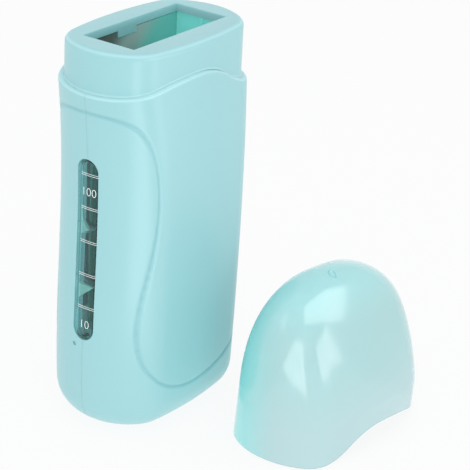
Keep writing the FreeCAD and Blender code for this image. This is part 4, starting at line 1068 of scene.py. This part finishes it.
def neck_highlight(x, y, z):
    """Paler in the cove at the neck's foot and along its rounded top edge: a painted highlight."""
    foot = min(PALEST, (shoulder_line(x) + FOOT_LIT_ABOVE - z) / FOOT_LIT_FADE)
    return max(foot, PALEST - abs(BODY_TOP - EDGE_LIT_BELOW - z) / EDGE_LIT_FADE)


tab = block((TAB_X - TAB_WIDTH / 2, TAB_X + TAB_WIDTH / 2), (OPENING_Y, OPENING_Y + TAB_THICKNESS),
            (LIP_UNDERSIDE - TAB_DEPTH, LIP_UNDERSIDE + 1))
carve(neck, tab, operation="UNION")
# A painted highlight in the cove at the neck's foot and along its top edge.
mark_points(neck, "painted_edge_highlight", neck_highlight)
finish_piece(neck, casing_plastic, "casing_plastic", "neck_collar")

# %% [markdown]
# ## The cap
# The cap is a dome with a different curve on each side: it drops away slowly at one end and fast at the
# other. A stretched sphere would be even all round, so each height gets its own outline, narrowed by a power
# curve for each side. Its rim follows the casing's wavy shoulder, so off the heater it rocks onto the rim's
# two low ends and its long sides arch clear of the table. A small ring near its crown is the mark of the
# place where the plastic was fed into the mould.

# %% The dome's form
CAP_HEIGHT, CAP_WALL, CAP_STRAIGHT, CAP_DRAFT = 67.2, 1.6, 14.0, 0.01
POWER_NEAR, POWER_FAR, POWER_SIDE = 5.4, 2.6, 1.33
CROWN_SHARE, CROWN_SHIFT, LEAN_POWER = 0.9 / NECK_SIDE, 13.4, 1.35
STRAIGHT_STEPS, DOME_STEPS, CAP_COLUMNS = 16, 90, 75
INNER_TOP = CAP_HEIGHT - CAP_WALL
cap_arcs = {}


def cap_point(direction, height, inset, top):
    """A point of the cap's wall before it is set down, with the neck's axis as its middle."""
    half_x = NECK_END - CAP_DRAFT * height - inset
    half_y = NECK_SIDE - CAP_DRAFT * height - inset
    rise = max(height - CAP_STRAIGHT, 0.0) / (top - CAP_STRAIGHT)
    near, far, side = (math.sqrt(max(1 - rise**power, 0.0))
                       for power in (POWER_NEAR, POWER_FAR, POWER_SIDE))
    key = (round(half_x, 4), round(half_y, 4))
    if key not in cap_arcs:
        cap_arcs[key] = outline_arcs(half_x, half_y)
    x, y = outline_point(cap_arcs[key], direction, 0)
    return (x * (near + far) / 2 + half_x * (far - near) / 2 + CROWN_SHIFT * rise**LEAN_POWER,
            y * side, height)


def dome_heights(start, top):
    """Heights from the rim to the crown, closer together where the dome turns over."""
    last_turn = math.acos(CROWN_SHARE)
    curved = [CAP_STRAIGHT + (top - CAP_STRAIGHT) * math.sin(turn) ** (2 / POWER_SIDE)
              for turn in evenly(0, last_turn, DOME_STEPS)[1:]]
    return evenly(start, CAP_STRAIGHT, STRAIGHT_STEPS) + curved


print("the crown's flat lies at", round(dome_heights(0, CAP_HEIGHT)[-1], 2), "mm")

# %% The dome
RIM_ROUND, CAP_RIM_STEPS = 0.25, 3


def cap_profile(direction):
    """One strip from the inner crown down to the rim and up the outside to the outer crown."""
    rim = shoulder_line(cap_point(direction, 0, 0, CAP_HEIGHT)[0]) - SHOULDER
    points = [cap_point(direction, height, CAP_WALL, INNER_TOP)
              for height in reversed(dome_heights(rim + RIM_ROUND, INNER_TOP))]
    points += [cap_point(direction, rim + rise, CAP_WALL - inset, CAP_HEIGHT)
               for inset, rise in quarter_round(RIM_ROUND, CAP_RIM_STEPS)]
    points += [cap_point(direction, rim + rise, inset, CAP_HEIGHT)
               for rise, inset in quarter_round(RIM_ROUND, CAP_RIM_STEPS, start=0)]
    points += [cap_point(direction, height, 0, CAP_HEIGHT)
               for height in dome_heights(rim + RIM_ROUND, CAP_HEIGHT)[1:]]
    return points


dome = wrapped_grid("dome", full_turn(CAP_COLUMNS), cap_profile)
fill_open_edges(dome, levels=(dome_heights(0, INNER_TOP)[-1], dome_heights(0, CAP_HEIGHT)[-1]))
print("dome:", len(dome.data.polygons), "faces")

# %% The round mark that the mould's gate leaves
GATE_Y, GATE_RADIUS, GATE_HEIGHT, GATE_RAYS, GATE_TURN = 4.6, 1.8, 0.15, 48, math.radians(7.5)
# From the middle outwards and back underneath: shares of the mark's radius and of its height.
GATE_SHAPE = ((0, 0.2), (0.3, 0.2), (0.66, 0.2), (0.76, 2), (0.92, 2), (1, 0.3), (1, -4), (0, -4))
RING_FROM, RING_TO, RING_SHADE = 0.7, 0.99, 0.8


def gate_profile(direction):
    """One ray of the mark, which follows the dome under it: dished top, raised ring, underside."""
    points = []
    for away, lift in GATE_SHAPE:
        x = CROWN_SHIFT + GATE_RADIUS * away * math.cos(direction)
        y = GATE_Y + GATE_RADIUS * away * math.sin(direction)
        _, place, _, _ = dome.ray_cast(Vector((x, y, 2 * CAP_HEIGHT)) * MM, Vector((0, 0, -1)))
        points.append((x, y, place.z / MM + lift * GATE_HEIGHT))
    return points


def ring_shade(x, y, z):
    """Deeper in colour on the mark's ring."""
    return RING_SHADE * (RING_FROM < math.dist((x, y), (CROWN_SHIFT, GATE_Y)) / GATE_RADIUS < RING_TO)


gate = wrapped_grid("gate", [-GATE_TURN * ray for ray in range(GATE_RAYS + 1)], gate_profile)
fill_open_edges(gate)
carve(dome, gate, operation="UNION")
mark_points(dome, "gate_ring", ring_shade)
print("dome:", len(dome.data.polygons), "faces with its mark")

# %% The cap set down on its rim
CAP_X, CAP_Y, CAP_TURN = 29.3, -68.89, 175.3

near_rim, far_rim = (shoulder_line(sign * NECK_END) - SHOULDER for sign in (-1, 1))
tilt = -math.atan2(near_rim - far_rim, 2 * NECK_END)
dome.data.transform(Matrix.Rotation(math.radians(CAP_TURN), 4, "Z") @ Matrix.Rotation(tilt, 4, "Y"))
lowest = min(vertex.co.z for vertex in dome.data.vertices)
dome.data.transform(Matrix.Translation(Vector((CAP_X * MM, CAP_Y * MM, -lowest))))
finish_piece(dome, cap_plastic, "cap_plastic", "cap", body="cap")

# %% [markdown]
# ## Smaller mouldings
# The chamber, the window's surround, the indicator and the inlet could be modelled again, but their shapes
# in the construction model are exact already. They come in as loose triangles, so each one is copied, its
# corners are merged, and it is shaded smooth except at edges.


# %% Smooth copies
def smooth_copy(node, name, material, slot):
    """A copy of a carried-over node with merged corners and even shading."""
    piece = bpy.data.objects.new(name, nodes[node].data.copy())
    scene.collection.objects.link(piece)
    pick(piece)
    edit_whole(bpy.ops.mesh.remove_doubles, threshold=2 * MICRON)
    finish_piece(piece, material, slot, node)
    weigh = piece.modifiers.new("weigh", "WEIGHTED_NORMAL")
    weigh.keep_sharp = True
    weigh.weight = 100
    bpy.ops.object.modifier_apply(modifier="weigh")


smooth_copy("cartridge_chamber", "chamber", chamber_plastic, "chamber_plastic")
smooth_copy("window_frame", "window_surround", surround_plastic, "chamber_plastic")
smooth_copy("indicator_lens", "indicator", indicator_plastic, "indicator_plastic")
smooth_copy("inlet_housing", "inlet", inlet_plastic, "inlet_plastic")

# %% [markdown]
# ## The window
# The window is a clear moulded tray: its front fills the slot flush with the casing, its edge is rounded,
# and a flange behind the wall holds it. A flat tray would sink into the bowed wall at its middle. So the
# tray's section is swept once round the slot, and every point follows the curve of the window end's wall.

# %% The tray's section
LENS_INSET, LENS_WALL, LENS_EDGE, LENS_GAP = 0.25, 1.2, 0.5, 0.1
FLANGE_MARGIN, FLANGE_FRONT, FLANGE_BACK = 2.2, 2.5, 4.1
WINDOW_HALF = WINDOW_WIDTH / 2
LENS_BACK, LENS_INSIDE = LENS_INSET + LENS_WALL, LENS_GAP + LENS_WALL
FRONT_ROWS, BACK_ROWS, LENS_EDGE_STEPS = (WINDOW_HALF, 3.9, 2.6, 1.4), (3.0, WINDOW_HALF), 6
# How far inward from the slot's edge, and how deep below the wall's surface, each corner lies.
LENS_PROFILE = [(inward, LENS_INSET) for inward in FRONT_ROWS]
LENS_PROFILE += [(LENS_GAP + inward, LENS_INSET + deeper)
                 for deeper, inward in quarter_round(LENS_EDGE, LENS_EDGE_STEPS, start=0)]
LENS_PROFILE += [(LENS_GAP, FLANGE_FRONT), (-FLANGE_MARGIN, FLANGE_FRONT), (-FLANGE_MARGIN, FLANGE_BACK),
                 (LENS_INSIDE, FLANGE_BACK), (LENS_INSIDE, LENS_BACK)]
LENS_PROFILE += [(inward, LENS_BACK) for inward in BACK_ROWS]


def end_wall(y, height, depth):
    """How far along X the window end's wall lies, at a depth below its surface."""
    near = NECK_END + swell(NEAR_SWELL, height / SHOULDER)
    return -near + END_BOW - math.sqrt((END_BOW - depth) ** 2 - y**2)


print("the tray's section has", len(LENS_PROFILE), "corners")

# %% The tray
SLOT_STEPS, END_STEPS = 40, 24


def slot_stations():
    """Stations round the slot: the height they are measured from, and their direction from there."""
    low, high = WINDOW_LOW + WINDOW_HALF, WINDOW_HIGH - WINDOW_HALF
    climb, turns = evenly(low, high, SLOT_STEPS)[:-1], evenly(0, math.pi, END_STEPS)[:-1]
    stations = [(height, math.pi) for height in climb] + [(high, math.pi - turn) for turn in turns]
    stations += [(low + high - height, 0.0) for height in climb] + [(low, -turn) for turn in turns]
    return stations + stations[:1]


def lens_strip(station):
    """The tray's section at one station, in place on the wall."""
    centre, direction = station
    points = []
    for inward, depth in LENS_PROFILE:
        y = (WINDOW_HALF - inward) * math.cos(direction)
        height = centre + (WINDOW_HALF - inward) * math.sin(direction)
        points.append((end_wall(y, height, depth), y, height))
    return points


lens = wrapped_grid("window", slot_stations(), lens_strip)
fill_open_edges(lens)
finish_piece(lens, window_plastic, "window_plastic", "window_lens", angle=40)

# %% [markdown]
# ## What the window shows
# Two thin four-cornered arrows stand inside the tray. The level scale is printed on its front as pairs of
# fine lines and plain numbers. A texture could show the print, but would blur close up, so each line and
# number is a thin raised piece that follows the wall's curve, as a thick ink does.

# %% The level arrows
ARROWS = (((3.5, 62.0), (3.5, 55.9), (0.2, 58.7), (-3.1, 61.5)),
          ((3.5, 93.4), (3.5, 82.2), (-0.1, 84.5), (2.5, 87.8)))
ARROW_FRONT, ARROW_BACK = 1.55, 2.6


def arrow_strip(station):
    """A corner of an arrow, from its middle over its front face and edge to the middle of its back."""
    arrow, corner = station
    corners = ARROWS[arrow]
    y, height = corners[corner % 4]
    middle_y, middle_height = (sum(values) / 4 for values in zip(*corners))
    return [(end_wall(across, level, depth), across, level)
            for across, level, depth in ((middle_y, middle_height, ARROW_FRONT), (y, height, ARROW_FRONT),
                                         (y, height, ARROW_BACK), (middle_y, middle_height, ARROW_BACK))]


def join_pieces(name, pieces):
    """Joins pieces into one, and turns its faces outwards."""
    pick(*pieces)
    bpy.ops.object.join()
    pieces[0].name = name
    fill_open_edges(pieces[0])
    return pieces[0]


arrows = join_pieces("level_arrows",
                     [wrapped_grid("arrow", [(arrow, corner) for corner in range(5)], arrow_strip)
                      for arrow in range(len(ARROWS))])
finish_piece(arrows, arrow_plastic, "chamber_plastic")

# %% The printed lines
TICKS, TICK_APART, TICK_THICK, TICK_FROM, TICK_TO, TICK_CELLS = 5, 0.74, 0.12, -4.7, 3.0, 12
TICK_TOP, TICK_STEP = 107.3, 13.55
PRINT_THICK = 0.04
prints = []


def tick_strip(station):
    """A section of a printed line, drawn to a point where size is 0, which closes the line's end."""
    y, height, size = station
    points = []
    for up, out in ((-1, 0), (-1, 1), (1, 1), (1, 0), (-1, 0)):
        lift = (0.5 + (out - 0.5) * size) * PRINT_THICK
        level = height + up * size * TICK_THICK / 2
        points.append((end_wall(y, level, LENS_INSET) - lift, y, level))
    return points


for number in range(TICKS):
    for side in (-1, 1):
        level = TICK_TOP - number * TICK_STEP + side * TICK_APART / 2
        sections = [(y, level, 1) for y in evenly(TICK_FROM, TICK_TO, TICK_CELLS)]
        stations = [(TICK_FROM, level, 0)] + sections + [(TICK_TO, level, 0)]
        prints.append(wrapped_grid("tick", stations, tick_strip))
print("printed", len(prints), "fine lines")

# %% The printed numbers
NUMBERS = (("100", 100.3), ("10", 46.0))
NUMBER_HEIGHT, NUMBER_MIDDLE, STROKE_THINNING, STROKE_DEPTH = 3.2, -0.5, -0.028, 0.1


def printed_number(text, level):
    """A number as thin raised strokes on the window's front, with its middle at a level."""
    deselect()
    bpy.ops.object.text_add()
    words = bpy.context.object
    words.data.body = text
    words.data.align_x = "CENTER"
    words.data.extrude = STROKE_DEPTH
    words.data.offset = STROKE_THINNING
    bpy.ops.object.convert(target="MESH")
    tall = max(vertex.co.y for vertex in words.data.vertices)
    for vertex in words.data.vertices:
        across, up, out = vertex.co
        y = NUMBER_MIDDLE - across / tall * NUMBER_HEIGHT
        height = level + (up / tall - 0.5) * NUMBER_HEIGHT
        lift = PRINT_THICK if out > 0 else 0.0
        vertex.co = Vector((end_wall(y, height, LENS_INSET) - lift, y, height)) * MM
    edit_whole(bpy.ops.mesh.remove_doubles, threshold=MICRON)
    return words


prints += [printed_number(text, level) for text, level in NUMBERS]
printed_scale = join_pieces("printed_scale", prints)
white_print = plain_finish("white_print", linear(244, 250, 250), 0.5)
# The print's emission is painted light, which keeps it white inside the shaded window.
feed(white_print.node_tree.nodes["Principled BSDF"], {"Emission Strength": 0.35})
finish_piece(printed_scale, white_print, "window_plastic")
